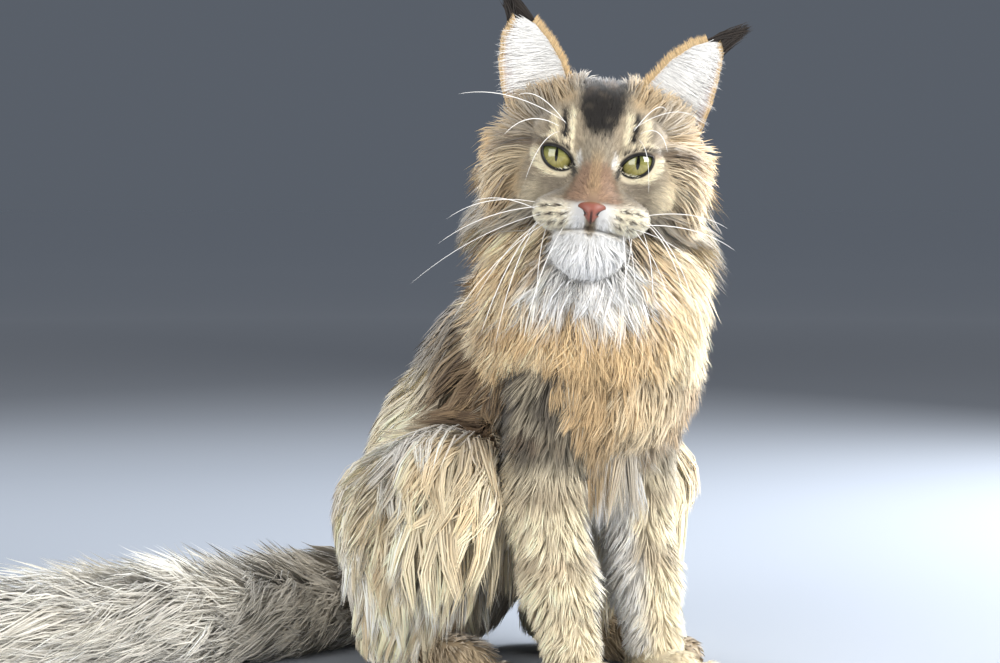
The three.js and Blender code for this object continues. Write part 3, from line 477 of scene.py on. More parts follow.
store(on_surface(coords(skin.data) * 1000))
HEAD_BOX, FACE_BOX, UNDER_CHIN = (60, 60, 60), (46, 8, 26), -72
for half_width, back, top in (HEAD_BOX, FACE_BOX):
    q = to_head(coords(skin.data) * 1000)
    refine((q[:, 1] < back) & (np.abs(q[:, 0]) < half_width) & (q[:, 2] > UNDER_CHIN)
           & (q[:, 2] < top))
q = to_head(coords(skin.data) * 1000)
near_eye = np.maximum(almond(q, 1), almond(q, -1)) > -4
refine((q[:, 1] < 6) & near_eye)

# The lids lie just over the eyeballs, and the skin inside each opening is sunk behind them.
# Then the lips' line and the groove under the nose are pressed in.
LID_OVER_EYE, LID_THICKENS, SUNK_BEHIND = 1.0, 1.3, 9
LIP_PRESS, GROOVE_PRESS, SOLE_GAP, SKIN_PAINTED_SHADE = 2.6, 2.0, 0.4, 0.72
p = on_surface(coords(skin.data) * 1000, 1)
q = to_head(p)
for side in (-1, 1):
    inside = almond(q, side)
    front = (q[:, 1] < 4) & (q[:, 0] * side > 4)
    centre = np.array([EYE_X * side, EYE_Y, 0])
    off = q - centre
    lid = front & (inside > -5) & (inside < 0)
    reach = np.linalg.norm(off, axis=1)
    want = EYE_R + LID_OVER_EYE + LID_THICKENS * ramp(-inside, 0, 4)
    q[lid] = (centre + off / reach[:, None] * np.maximum(reach, want)[:, None])[lid]
    hollow = front & (inside >= 0)
    sunk = SUNK_BEHIND * ramp(inside, 0, 1.4)
    q[hollow, 1] = np.maximum(q[hollow, 1], -EYE_R * 0.9) + sunk[hollow]
x, y, z = q.T
lip = above_lips(x, z)
mouth = (1 - ramp(np.abs(lip), 0.6, 3)) * (1 - ramp(np.abs(x), 18, 28)) * (y < -4)
philtrum = (1 - ramp(np.abs(x), 0.5, 2.5)) * band(z, -47, -37, 1.5) * (y < -20)
q[:, 1] += LIP_PRESS * mouth + GROOVE_PRESS * philtrum
p = from_head(q)
p[:, 2] = np.maximum(p[:, 2], SOLE_GAP)
store(p)
p = coords(skin.data) * 1000
part = coat_and_part(p)[1]
# The skin takes the coat's colours darkened, as painted shade deep in the coat between the tufts.
put_colours(skin.data, colour_at(p, part) * SKIN_PAINTED_SHADE)
skin.data.materials.clear()
skin.data.materials.append(SKIN)
skin.data.polygons.foreach_set("use_smooth", [True] * len(skin.data.polygons))

# Ears
# Thin cupped gristle with pink skin inside and grey behind. Each is the same sheet as in the
# solids, between an inner and an outer edge seen from in front, with a wall round it, and is
# joined into the skin. tuft is the way the dark hair at its tip points.
EARS = {
    1: dict(inner=[(20, 40), (27, 51), (39, 67), (52, 77), (61, 80)],
            outer=[(54, 8), (60, 20), (65, 37), (68, 55), (69, 70), (66, 78)], tuft=(0.85, 0.5)),
    -1: dict(inner=[(-18, 36), (-23, 46), (-29, 59), (-38, 71), (-49, 82)],
             outer=[(-52, 12), (-58, 25), (-63, 37), (-66, 52), (-66, 69), (-60, 81)],
             tuft=(-0.6, 0.8)),
}
EAR_FRONT, EAR_BACK, EAR_ACROSS, EAR_TALL = 0.3, 2.0, 24, 30
PINK = paint(226, 208, 204)


def along(points, v):
    """The place at a share v of the way along an edge."""
    points = np.array(points, float)
    reach = np.r_[0, np.cumsum(np.linalg.norm(np.diff(points, axis=0), axis=1))]
    reach /= reach[-1]
    return np.stack([np.interp(v, reach, points[:, k]) for k in range(2)], axis=1)


def ear_point(side, u, v, back=0.0):
    """u goes from the inner to the outer edge, v from the root to the tip, back behind."""
    u, v = np.broadcast_arrays(np.atleast_1d(u).astype(float), np.atleast_1d(v).astype(float))
    a, b = along(EARS[side]["inner"], v), along(EARS[side]["outer"], v)
    flat = a + (b - a) * u[:, None]
    y = (34 + 6 * v) * (1 - u) + (46 - 4 * v) * u + 17 * np.sin(math.pi * u) * (1 - 0.75 * v)
    return np.stack([flat[:, 0], y + back, flat[:, 1]], axis=1)


def ear_colour(u, v, behind):
    rim = np.maximum(ramp(np.abs(u - 0.5), 0.40, 0.5), ramp(v, 0.9, 1.0))
    c = PINK + (GOLD - PINK) * rim[:, None]
    return np.where(behind[:, None], TAUPE * 0.8, c)


def object_from(name, points, faces, colours, mat):
    mesh = bpy.data.meshes.new(name)
    mesh.from_pydata(np.asarray(points).tolist(), [], np.asarray(faces).tolist())
    mesh.polygons.foreach_set("use_smooth", [True] * len(mesh.polygons))
    o = bpy.data.objects.new(name, mesh)
    bpy.context.collection.objects.link(o)
    mesh.materials.append(mat)
    put_colours(mesh, colours)
    return o


ear_objects = []
for side in (-1, 1):
    n, m = EAR_ACROSS, EAR_TALL
    v, u = [g.ravel() for g in np.meshgrid(np.linspace(0, 1, m), np.linspace(0, 1, n),
                                           indexing="ij")]
    front, rear = ear_point(side, u, v, EAR_FRONT), ear_point(side, u, v, EAR_BACK)
    pts = row(from_head(np.r_[front, rear]))
    faces, k = [], n * m
    for j in range(m - 1):
        for i in range(n - 1):
            a = j * n + i
            faces.append((a, a + 1, a + n + 1, a + n))
            faces.append((k + a, k + a + n, k + a + n + 1, k + a + 1))
    root = [(i, i + 1) for i in range(n - 1)]
    outer = [(j * n + n - 1, (j + 1) * n + n - 1) for j in range(m - 1)]
    top = [((m - 1) * n + i + 1, (m - 1) * n + i) for i in range(n - 2, -1, -1)]
    inner = [((j + 1) * n, j * n) for j in range(m - 2, -1, -1)]
    faces += [(b, a, a + k, b + k) for a, b in root + outer + top + inner]
    behind = np.r_[np.zeros(k, bool), np.ones(k, bool)]
    cols = ear_colour(np.r_[u, u], np.r_[v, v], behind)
    ear_objects.append(object_from(f"ear{side}", pts, faces, cols, SKIN))

skin_points = coords(skin.data)
skin.data.vertices.foreach_set("co", row(skin_points * 1000).ravel())
skin.data.update()
bpy.ops.object.select_all(action="DESELECT")
for o in ear_objects:
    o.select_set(True)
skin.select_set(True)
bpy.context.view_layer.objects.active = skin
bpy.ops.object.join()
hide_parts("head", "neck", "torso_front", "torso_rear", "ear_left", "ear_right",
            "foreleg_left", "foreleg_right", "forepaw_left", "forepaw_right", "hindleg_left",
            "hindleg_right", "hindfoot_left", "hindfoot_right", "tail_base", "tail_middle",
            "tail_tip")
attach(skin, "root")

# Eyes
# Wet, glossy balls with an olive iris and an upright slit pupil, each set in its lids where the
# solid eye is. Each ball's pole faces forward, so that its rings are the iris's.
EYE = material("eye", 0.12, gloss=1.0)
OLIVE, PALE_OLIVE = paint(112, 120, 66), paint(164, 154, 92)
IRIS_R, IRIS_EDGE, SLIT_HALF, SLIT_SOFT = 9.2, 1.0, 4.3, 0.25
SLIT_WIDTHS = {1: 1.25, -1: 1.0}
for side, name in ((1, "eye_left"), (-1, "eye_right")):
    bpy.ops.mesh.primitive_uv_sphere_add(segments=96, ring_count=96, radius=EYE_R / 1000)
    eye = bpy.context.object
    eye.name = name.replace("_", "ball_")
    a = coords(eye.data) * 1000
    ball_q = np.stack([a[:, 0], -a[:, 2], a[:, 1]], axis=1)
    x, z = ball_q[:, 0] - 0.3 * side, ball_q[:, 2] - 0.2
    r = np.hypot(x, z)
    turn = np.arctan2(z, x)
    fibres = 0.5 + 0.5 * np.sin(turn * 37 + 2 * np.sin(turn * 5)) * np.sin(turn * 23)
    iris = OLIVE + (PALE_OLIVE - OLIVE) * ramp(-z + 2, -4, 7)[:, None]
    # The iris is darkened towards its top: painted shadow of the upper lid.
    iris = iris * (0.66 + 0.38 * fibres)[:, None] * (1 - 0.6 * ramp(z, 0.5, 5.5))[:, None]
    c = iris + (BLACK - iris) * ramp(r, IRIS_R, IRIS_R + IRIS_EDGE)[:, None]
    width = SLIT_WIDTHS[side] * np.sqrt(np.clip(1 - (z / SLIT_HALF) ** 2, 0, 1))
    slit = (1 - ramp(np.abs(x), width - SLIT_SOFT, width + SLIT_SOFT)) * (np.abs(z) < SLIT_HALF)
    c = c + (BLACK * 0.3 - c) * slit[:, None]
    at = ball_q + np.array([EYE_X * side, EYE_Y, 0])
    eye.data.vertices.foreach_set("co", row(from_head(at)).ravel())
    eye.data.materials.append(EYE)
    put_colours(eye.data, np.clip(c, 0.001, 1))
    eye.data.polygons.foreach_set("use_smooth", [True] * len(eye.data.polygons))
    eye.data.update()
    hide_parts(name)
    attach(eye, "root")

# Nose leather
# Bare brick-pink leather at the tip of the nose, a ball warped to a shield that is wide on top
# and narrow below, sunk in the skin, with comma-shaped nostrils and a groove pressed in.
LEATHER = material("nose_leather", 0.45)
NOSE_LOW, NOSE_WIDER, NOSE_DEEP, NOSE_TALL = 2.6, 8.4, 5.2, 7.4
NOSE_Y, NOSE_Z, NOSE_CURVE = -34.0, -32.2, 3.5
NOSTRIL_PRESS, NOSE_GROOVE = 2.2, 1.0
bpy.ops.mesh.primitive_uv_sphere_add(segments=72, ring_count=64, radius=1)
nose = bpy.context.object
nose.name = "nose_leather"
a = coords(nose.data)
width = NOSE_LOW + NOSE_WIDER * ramp(a[:, 2], -0.9, 0.7)
q = np.stack([a[:, 0] * width, NOSE_Y + a[:, 1] * NOSE_DEEP + NOSE_CURVE * (a[:, 0] ** 2),
              NOSE_Z + a[:, 2] * NOSE_TALL], axis=1)
nostril = 1 - ramp(np.hypot((np.abs(q[:, 0]) - 6.4 - 0.5 * (q[:, 2] + 31)) / 2.6,
                            (q[:, 2] - NOSE_Z - 0.35 * (np.abs(q[:, 0]) - 6)) / 1.5), 0.6, 1.2)
q[:, 1] += NOSTRIL_PRESS * nostril * (a[:, 1] < 0)
groove = (1 - ramp(np.abs(q[:, 0]), 0.3, 1.1)) * (1 - ramp(q[:, 2], -33, -30)) * (a[:, 1] < 0)
q[:, 1] += NOSE_GROOVE * groove
c = np.tile(ROSE * 0.62, (len(q), 1))
edge = np.maximum(ramp(np.abs(a[:, 0]), 0.62, 0.9), ramp(-a[:, 2], 0.5, 0.9))
# The nostrils and the groove are darkened as painted shade in these hollows.
for colour, mask in ((UMBER * 0.6, edge * 0.8), (UMBER, ramp(a[:, 2], 0.55, 0.9) * 0.8),
                     (BLACK * 0.4, nostril), (BLACK, groove * 0.8)):
    c = c + (colour - c) * mask[:, None]
nose.data.vertices.foreach_set("co", row(from_head(q)).ravel())
nose.data.materials.append(LEATHER)
put_colours(nose.data, c)
nose.data.polygons.foreach_set("use_smooth", [True] * len(nose.data.polygons))
nose.data.update()
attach(nose, "root")

# Lid rims
# The dark wet edge of the lids, a thin tube round each eye's opening. Each of its points is
# found by halving, on the opening's edge, and set just proud of the eyeball.
RIM_STEPS, RIM_SIDES, RIM_R, RIM_PROUD, HALVINGS, FARTHEST_LID = 64, 8, 0.62, 0.7, 24, 20.0
for side, word in ((1, "left"), (-1, "right")):
    centre = np.array([EYE_X * side, EYE_Y, 0.0])
    cos, sin = math.cos(LID_SLANT), math.sin(LID_SLANT)
    rim = []
    for k in range(RIM_STEPS):
        angle = 2 * math.pi * k / RIM_STEPS
        low, high = 0.0, FARTHEST_LID
        for _ in range(HALVINGS):
            middle = (low + high) / 2
            u, v = middle * math.cos(angle), middle * math.sin(angle) - 1
            at = np.array([[EYE_X - LID_SHIFT_X + u * cos - v * sin, 0,
                            u * sin + v * cos - LID_SHIFT_Z]])
            low, high = (middle, high) if almond(at, 1)[0] > 0 else (low, middle)
        x, z = at[0, 0] - EYE_X, at[0, 2]
        y = -math.sqrt(max(EYE_R + RIM_PROUD, math.hypot(x, z) + 3.2) ** 2 - x * x - z * z)
        rim.append(centre + np.array([x * side, y, z]))
    rim = np.array(rim)
    ahead = unit(np.roll(rim, -1, 0) - np.roll(rim, 1, 0))
    out = unit(rim - centre)
    across = np.cross(ahead, out)
    turns = np.arange(RIM_SIDES) * 2 * math.pi / RIM_SIDES
    pts = np.stack([rim + RIM_R * (out * math.cos(a) + across * math.sin(a)) for a in turns],
                   axis=1).reshape(-1, 3)
    quads = []
    for k in range(RIM_STEPS):
        ring, following = RIM_SIDES * k, RIM_SIDES * ((k + 1) % RIM_STEPS)
        for a in range(RIM_SIDES):
            b = (a + 1) % RIM_SIDES
            quads.append((ring + a, following + a, following + b, ring + b))
    lid = object_from("lid_rim_" + word, row(from_head(pts)), quads,
                      np.tile(BLACK * 0.7, (len(pts), 1)), LEATHER)
    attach(lid, "root")

# Face and skull
# Soft plush hair, a few millimetres long on the nose and longer backwards and round the ears'
# roots. As everywhere on the cat, each tuft is a thin folded blade that tapers to a point, is
# rooted on the skin, follows the lie of its part and leans into a lock with its neighbours.
FUR = material("fur", 0.6, sheen=0.5, ior=1.35)

# Heights over the skin are looked up in a grid of cubes, filled once from the masses
CUBE, CORNER, CUBES, BATCH = 5.0, np.array([-405.0, -95.0, -15.0]), (109, 81, 93), 50000
knots = np.stack(np.meshgrid(*[np.arange(n) for n in CUBES], indexing="ij"), -1).reshape(-1, 3)
values = np.empty((len(knots), 5))
for k in range(0, len(knots), BATCH):
    some = knots[k:k + BATCH] * CUBE + CORNER
    values[k:k + BATCH, 0] = field(some)
    values[k:k + BATCH, 4] = coat_and_part(some)[0]
grid = values.reshape(*CUBES, 5)
grid[..., 1:4] = np.stack(np.gradient(grid[..., 0], CUBE), -1)


def look(p):
    """Height over the skin, the way out from it, and the coat's depth there."""
    g = np.clip((p - CORNER) / CUBE, 0, np.array(CUBES) - 1.001)
    i = g.astype(int)
    f = g - i
    total = np.zeros((len(p), 5))
    for dx in (0, 1):
        for dy in (0, 1):
            for dz in (0, 1):
                w = (np.abs(1 - dx - f[:, 0]) * np.abs(1 - dy - f[:, 1])
                     * np.abs(1 - dz - f[:, 2]))
                total += grid[i[:, 0] + dx, i[:, 1] + dy, i[:, 2] + dz] * w[:, None]
    return total[:, 0], unit(total[:, 1:4]), total[:, 4]


def lie_of(p, n, part):
    """The way the hair lies, nearly along the surface with the normal n."""
    x, y = p[:, 0], p[:, 1]
    q = to_head(p)
    one = np.ones(len(p))
    out = unit(np.stack([x - 8, y - 24, 0 * one], axis=1))
    forward = from_head(np.array([0, -1.0, 0])) - HEAD_AT
    d = np.stack([0.003 * x, 0.5 * one, -0.85 * one], axis=1)
    chest = (part == TORSO) & (y < 25)
    d[chest] = np.stack([0.004 * x, 0 * x + 0.05, -one], axis=1)[chest]
    neck = part == NECK
    d[neck] = (out * 0.5 - forward * 0.2 + np.array([0, 0, -1]))[neck]
    leg = part == FORELEG
    d[leg] = np.stack([0 * x, 0.35 * one, -one], axis=1)[leg]
    paw = (part == FOREPAW) | (part == HINDFOOT)
    d[paw] = np.stack([0 * x, -one, -0.5 * one], axis=1)[paw]
    thigh = part == HINDLEG
    d[thigh] = np.stack([0.004 * x, 0.08 + 0.5 * ramp(y, 70, 140), -0.95 * one], axis=1)[thigh]
    tail = part == TAIL
    d[tail] = np.stack([-one, (y - 232) * 0.014, -0.12 * one], axis=1)[tail]
    head = part == HEAD
    away = q - np.array([0, -30.0, -24.0])
    away[:, 1] = np.abs(away[:, 1]) * 0.5 + 12
    low = ramp(-q[:, 2], 38, 50)
    away[:, 2] = away[:, 2] * (1 - low) - 40 * low
    cheek = ramp(np.abs(q[:, 0]), 30, 46) * (1 - ramp(q[:, 2], 12, 28))
    away[:, 2] -= 55 * cheek
    away[:, 0] += 20 * cheek * np.sign(q[:, 0])
    d[head] = (away @ HEAD_TURN.T)[head]
    d = unit(d)
    return unit(d - (d * n).sum(1)[:, None] * n * 0.97)


def sample_skin(count, chosen, weights):
    """Roots spread at random over the chosen part of the skin, by area and weight."""
    mesh = skin.data
    mesh.calc_loop_triangles()
    tri = np.empty(len(mesh.loop_triangles) * 3, int)
    mesh.loop_triangles.foreach_get("vertices", tri)
    tri = tri.reshape(-1, 3)
    tri = tri[(tri < len(skin_points)).all(1)]
    at = skin_points * 1000
    a, b, c = at[tri[:, 0]], at[tri[:, 1]], at[tri[:, 2]]
    n = skin_normals
    area = np.linalg.norm(np.cross(b - a, c - a), axis=1)
    area = area * chosen[tri[:, 0]] * weights[tri[:, 0]]
    pick = rng.choice(len(tri), count, p=area / area.sum())
    r1, r2 = rng.random(count), rng.random(count)
    flip = r1 + r2 > 1
    r1[flip], r2[flip] = 1 - r1[flip], 1 - r2[flip]
    r1, r2, t = r1[:, None], r2[:, None], tri[pick]
    return (a[pick] + (b - a)[pick] * r1 + (c - a)[pick] * r2,
            unit(n[t[:, 0]] * (1 - r1 - r2) + n[t[:, 1]] * r1 + n[t[:, 2]] * r2))


def spikes(name, path, normal, width, colours, uv, fold=0.45):
    """A piece of blades. path is rings x blades x 3 in mm, and its last ring is the tip."""
    lowest, darkest, patch, rolls, roll_step = 0.15, 0.002, 0.003, 7, 0.3
    rings, count, _ = path.shape
    pts, cols, nrm = [], [], []
    profile = np.sin(np.linspace(0.5, math.pi * 0.9, rings)) if rings > 2 else np.ones(rings)
    for i in range(rings - 1):
        d = unit(path[i + 1] - path[i])
        side = unit(np.cross(d, normal))
        w = (width * profile[i] / 2)[:, None]
        up = np.cross(side, d)
        up = up * np.sign((up * normal).sum(1))[:, None]
        roll = (np.arange(count) % rolls - rolls // 2)[:, None] * roll_step
        side, up = side * np.cos(roll) + up * np.sin(roll), up * np.cos(roll) - side * np.sin(roll)
        pts += [path[i] - side * w, path[i] + up * w * fold, path[i] + side * w]
        nrm += [unit(normal - side * 0.5), normal, unit(normal + side * 0.5)]
        cols += [colours[i]] * 3
    pts.append(path[-1])
    nrm.append(normal)
    cols.append(colours[-1])
    k = len(pts)
    pts = np.stack(pts, axis=1).reshape(-1, 3)
    pts[:, 2] = np.maximum(pts[:, 2], lowest)
    cols = np.stack(cols, axis=1).reshape(-1, 3)
    nrm = np.stack(nrm, axis=1).reshape(-1, 3)
    tris = []
    for i in range(rings - 2):
        for a, b in ((0, 1), (1, 2)):
            tris += [(3 * i + a, 3 * i + b, 3 * i + 3 + b),
                     (3 * i + a, 3 * i + 3 + b, 3 * i + 3 + a)]
    last = 3 * (rings - 2)
    tris += [(last + a, last + b, k - 1) for a, b in ((0, 1), (1, 2))]
    tris = np.array(tris)
    faces = (np.arange(count)[:, None, None] * k + tris[None]).reshape(-1, 3)
    mesh = bpy.data.meshes.new(name)
    mesh.vertices.add(len(pts))
    mesh.vertices.foreach_set("co", row(pts).ravel())
    mesh.loops.add(faces.size)
    mesh.loops.foreach_set("vertex_index", faces.ravel())
    mesh.polygons.add(len(faces))
    mesh.polygons.foreach_set("loop_start", np.arange(len(faces)) * 3)
    mesh.polygons.foreach_set("use_smooth", [True] * len(faces))
    mesh.update()
    layer = mesh.uv_layers.new(name="OFBake")
    spread = np.linspace(0, patch, k)
    corner = np.stack([spread, spread[::-1] * 0.6], axis=1)
    places = (uv[:, None, :] + corner[None]).reshape(-1, 2)
    layer.data.foreach_set("uv", places[faces.ravel()].ravel())
    mesh.normals_split_custom_set_from_vertices(nrm.tolist())
    mesh.materials.append(FUR)
    put_colours(mesh, np.clip(cols, darkest, 1))
    o = bpy.data.objects.new(name, mesh)
    bpy.context.collection.objects.link(o)
    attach(o, "root")
    return o


def unwrap(p, part):
    """Round and along the part's own axis, inside the middle of the map."""
    axes = {TORSO: ((0, 2, 205), (0, 188, 58)), NECK: ((8, 24, 330), (2, 12, 200)),
            FORELEG: ((0, 0, 196), (0, -12, 32)), FOREPAW: ((0, 0, 12), (0, -60, 12)),
            HINDLEG: ((0, 190, 90), (0, 40, 110)), HINDFOOT: ((0, 150, 15), (0, 20, 15)),
            TAIL: ((0, 215, 40), (-350, 250, 30)), HEAD: ((-24, -26, 340), (10, 20, 340))}
    uv = np.zeros((len(p), 2))
    for k, (a, b) in axes.items():
        here = part == k
        a, b = np.array(a, float), np.array(b, float)
        axis = unit(b - a)
        one = unit(np.cross(axis, [0.1, 0.2, 1.0] if abs(axis[2]) < 0.9 else [0, 1.0, 0]))
        two = np.cross(axis, one)
        off = p[here] - a
        uv[here, 0] = 0.5 + np.arctan2(off @ two, off @ one) / (2 * math.pi) * 0.96
        uv[here, 1] = np.clip((off @ axis) / np.linalg.norm(b - a) * 0.7 + 0.15, 0.01, 0.985)
    return uv


def clumps(root, spacing):
    """The nearest clump centre of each root, with about spacing roots to a clump."""
    count = max(4, int(len(root) / spacing))
    centres = root[rng.choice(len(root), count, replace=False)]
    tree = kdtree.KDTree(count)
    for i, c in enumerate(centres):
        tree.insert(c, i)
    tree.balance()
    return np.array([tree.find(r)[1] for r in root]), centres


# How far one tuft's or one clump's tone, length, rise, lie and width stray from the rest
CLUMP_TONE, TUFT_TONE, LENGTH_STRAY, RISE_STRAY = 0.13, 0.14, 0.17, 0.22
CLUMP_BEND, TUFT_BEND, WIDTH_STRAY = 0.2, 0.08, 0.2
ROOT_SUNK, SHORTEST, OFF_FLOOR, TIP_OFF_FLOOR = 0.8, 1.2, 1.0, 0.8
DEEPEST, CLIMB, NARROWEST, WIDEST = 1.3, 16, 0.15, 9
ROOT_TONE, TIP_LIGHTER, DARKEST_TINT, LIGHTEST_TINT = 0.8, 0.34, 0.25, 1.7


def grow(name, count, chosen, length, width, rise, rings, pull=0.55, spacing=14, weights=None,
         wave=2.0, cling=6, fall=0.0):
    """A piece of coat over the chosen skin. length and rise multiply the coat's depth, pull
    draws tips to their clump's, cling holds long hair to its height, and fall hangs it down."""
    weights = np.ones(len(skin_points)) if weights is None else weights
    root, n = sample_skin(count, chosen, weights)
    depth, part = coat_and_part(root)
    which, centres = clumps(root, spacing)
    tone = rng.normal(0, CLUMP_TONE, len(centres))[which] + rng.normal(0, TUFT_TONE, len(root))
    reach = depth * length * (1 + rng.normal(0, LENGTH_STRAY, len(root))) + SHORTEST
    height = rise * (1 + rng.normal(0, RISE_STRAY, len(root)))
    d = lie_of(root, n, part)
    bend = rng.normal(0, CLUMP_BEND, len(centres))[which] + rng.normal(0, TUFT_BEND, len(root))
    d = unit(d + np.cross(d, n) * bend[:, None])
    path = [root - n * ROOT_SUNK]
    here, normal, steps = root, n, rings - 1
    long = rings > 3
    for i in range(1, rings):
        t = i / steps
        here = here + d * (reach / steps)[:, None]
        if long:
            low, normal, local = look(here)
            want = height * np.minimum(local, depth * DEEPEST) * t ** 0.8
            here = here + normal * np.clip(want - low, -cling, CLIMB)[:, None]
            d = unit(lie_of(here, normal, part) + np.cross(d, normal) * bend[:, None])
            d = unit(d * (1 - fall) + np.array([0, 0.04, -1.0]) * fall)
        else:
            here = here + n * (height * depth / steps)[:, None]
        here[:, 2] = np.maximum(here[:, 2], OFF_FLOOR)
        phase = (np.arange(len(centres)) * 2.4)[which]
        swing = np.cross(d, normal) * (wave * t * np.sin(t * 3.2 + phase) * reach / 40)[:, None]
        path.append(here + swing)
    path = np.stack(path)
    for i in range(1, rings):
        t = i / steps
        shift = path[i] - path[0]
        mean = np.zeros((len(centres), 3))
        hits = np.bincount(which, minlength=len(centres))[:, None]
        for k in range(3):
            mean[:, k] = np.bincount(which, shift[:, k], minlength=len(centres))
        aim = centres[which] + (mean / np.maximum(hits, 1))[which]
        path[i] += (aim - path[i]) * (pull * t ** 1.2)
        path[i][:, 2] = np.maximum(path[i][:, 2], TIP_OFF_FLOOR)
    base = colour_at(root, part)
    colours = []
    # Each blade is darker at its root and lighter towards its tip, partly the greyer undercoat and
    # partly painted shade deep in the coat.
    for i in range(rings):
        t = i / steps
        tint = (ROOT_TONE + TIP_LIGHTER * t ** 0.8) * (1 + tone)
        colours.append(base * np.clip(tint, DARKEST_TINT, LIGHTEST_TINT)[:, None])
    widths = np.clip(width * (1 + rng.normal(0, WIDTH_STRAY, len(root))), NARROWEST, WIDEST)
    spikes(name, path, n, widths, colours, unwrap(root, part))


part = coat_and_part(skin_points * 1000)[1]
skin_normals = np.empty(len(skin.data.vertices) * 3)
skin.data.vertices.foreach_get("normal", skin_normals)
skin_normals = skin_normals.reshape(-1, 3)[:len(skin_points)]
sx, sy, sz = (skin_points * 1000).T
hq = to_head(skin_points * 1000)
hx, hy, hz = hq.T

# No hair grows in the eyes' openings or on the nose leather, and little on the lips' line
clear = np.maximum(almond(hq, 1), almond(hq, -1)) < np.where(hz < -2, -2.3, -1.4)
clear &= ~((hy < -24) & (hz < -25.5) & (hz > -40) & (np.abs(hx) < 3 + 8 * ramp(hz, -39, -28)))
on_head = part == HEAD
face = on_head & clear & (hy < 24)
weights = np.where(np.abs(hx) < 30, 1.5, 1.0) * np.where(np.abs(above_lips(hx, hz)) < 1, 0.15, 1)
PAD_TOP = -27
grow("coat_face", 56000, face & (hz > PAD_TOP), length=1.5, width=0.42, rise=0.35, rings=2,
     pull=0.2, spacing=9, weights=weights)
grow("coat_muzzle", 28000, face & (hz <= PAD_TOP), length=1.1, width=0.36, rise=0.35, rings=2,
     pull=0.12, spacing=9, weights=weights)
grow("coat_skull", 8000, on_head & (hy >= 18), length=2.4, width=0.8, rise=0.6, rings=3,
     pull=0.35, spacing=8)
ear_base = on_head & (hz > 18) & (np.abs(hx) > 14) & (hy > 12) & (hy < 52)
grow("coat_ear_base", 2500, ear_base, length=4.0, width=0.6, rise=1.9, rings=4, pull=0.3,
     spacing=8)

# Cheeks, chin and throat
# Long soft hair on the cheeks that sweeps back and down, and fine white hair on the chin that
# runs into the bib on the throat. They are the same blades, longer and more upright.
cheeks = on_head & (np.abs(hx) > 32) & (hz < 14) & (hz > -55) & (hy > 4)
grow("coat_cheeks", 12000, cheeks, length=5.0, width=0.8, rise=3.0, rings=4, pull=0.5,
     spacing=14, wave=3)
chin = on_head & (hz < -48) & (np.abs(hx) < 26) & (hy < 32)
grow("coat_chin", 5000, chin, length=4.2, width=0.42, rise=1.2, rings=4, pull=0.25, spacing=8,
     wave=4, cling=1)
throat = ((part == NECK) | on_head & (hz < -58)) & (np.abs(hx) < 27) & (hz > -92) & (hy < 40)
grow("coat_throat", 4500, throat, length=1.0, width=0.6, rise=0.75, rings=4, pull=0.5,
     spacing=14, wave=4, cling=2)

# Ruff
# The mane of a long-haired cat, which hangs from under the ears over shoulders and chest. The
# side towards the face is finer and denser, the nape is in broader locks.
front = (sx + 20) * 0.62 + (sy - 20) * 0.79 < 0
grow("ruff_front", 13500, (part == NECK) & front, length=1.35, width=0.95, rise=1.0, rings=4,
     pull=0.6, spacing=18, wave=4)
grow("ruff_back", 5000, (part == NECK) & ~front, length=1.35, width=1.3, rise=1.0, rings=4,
     pull=0.55, spacing=16, wave=3)

# Trunk
# Shaggy hair over chest, ribs and back, in broader blades backwards. On the chest it is held
# less closely to its height, so that its tips can stand off.
CHEST_END, RIBS_END = 34, 95
on_torso = part == TORSO
grow("coat_chest", 11000, on_torso & (sy < CHEST_END), length=1.9, width=0.95, rise=0.95,
     rings=4, pull=0.6, spacing=18, wave=4, cling=3)
grow("coat_ribs", 4500, on_torso & (sy >= CHEST_END) & (sy < RIBS_END), length=2.5, width=1.4,
     rise=0.9, rings=4, pull=0.62, spacing=16)
grow("coat_back", 7000, on_torso & (sy >= RIBS_END), length=2.4, width=1.5, rise=0.75, rings=4,
     pull=0.62, spacing=16, wave=3)

# Legs and feet
# Close hair on forelegs and feet, and long pale breeches on the haunches with locks that fall
# from the knees. The right haunch faces the photo's camera, so it has more blades.
for side, word, count in ((1, "left", 4500), (-1, "right", 12500)):
    here = sx * side > 0
    grow("coat_foreleg_" + word, 10000, (part == FORELEG) & here, length=1.3, width=0.66,
         rise=0.6, rings=3, pull=0.4, spacing=9)
    grow("britches_" + word, count, (part == HINDLEG) & here, length=3.0, width=1.15, rise=0.9,
         rings=4, pull=0.72, spacing=24, wave=6, cling=1)
    grow("coat_forepaw_" + word, 6000, (part == FOREPAW) & here, length=2.0, width=0.6,
         rise=0.35, rings=2, pull=0.15, spacing=9)
    grow("coat_hindfoot_" + word, 3000, (part == HINDFOOT) & here, length=1.9, width=0.9,
         rise=0.5, rings=3, pull=0.2, spacing=9)
    knee = (part == HINDLEG) & here & (sy < 112) & (sz > 58) & (sz < 140) & (np.abs(sx) > 40)
    grow("knee_locks_" + word, count // 3, knee, length=4.6, width=1.0, rise=0.8, rings=4,
         pull=0.75, spacing=22, wave=7, cling=0, fall=0.85)

# Chest fall
# Thin wisps of the chest's long hair that hang nearly straight down between the forelegs. They
# are narrow blades rooted on the lower chest.
low_chest = on_torso & (np.abs(sx) < 20) & (sy < 0) & (sz < 185)
grow("chest_fall", 1500, low_chest, length=3.4, width=0.6, rise=0.5, rings=4, pull=0.6,
     spacing=14, wave=4, cling=0, fall=0.85)

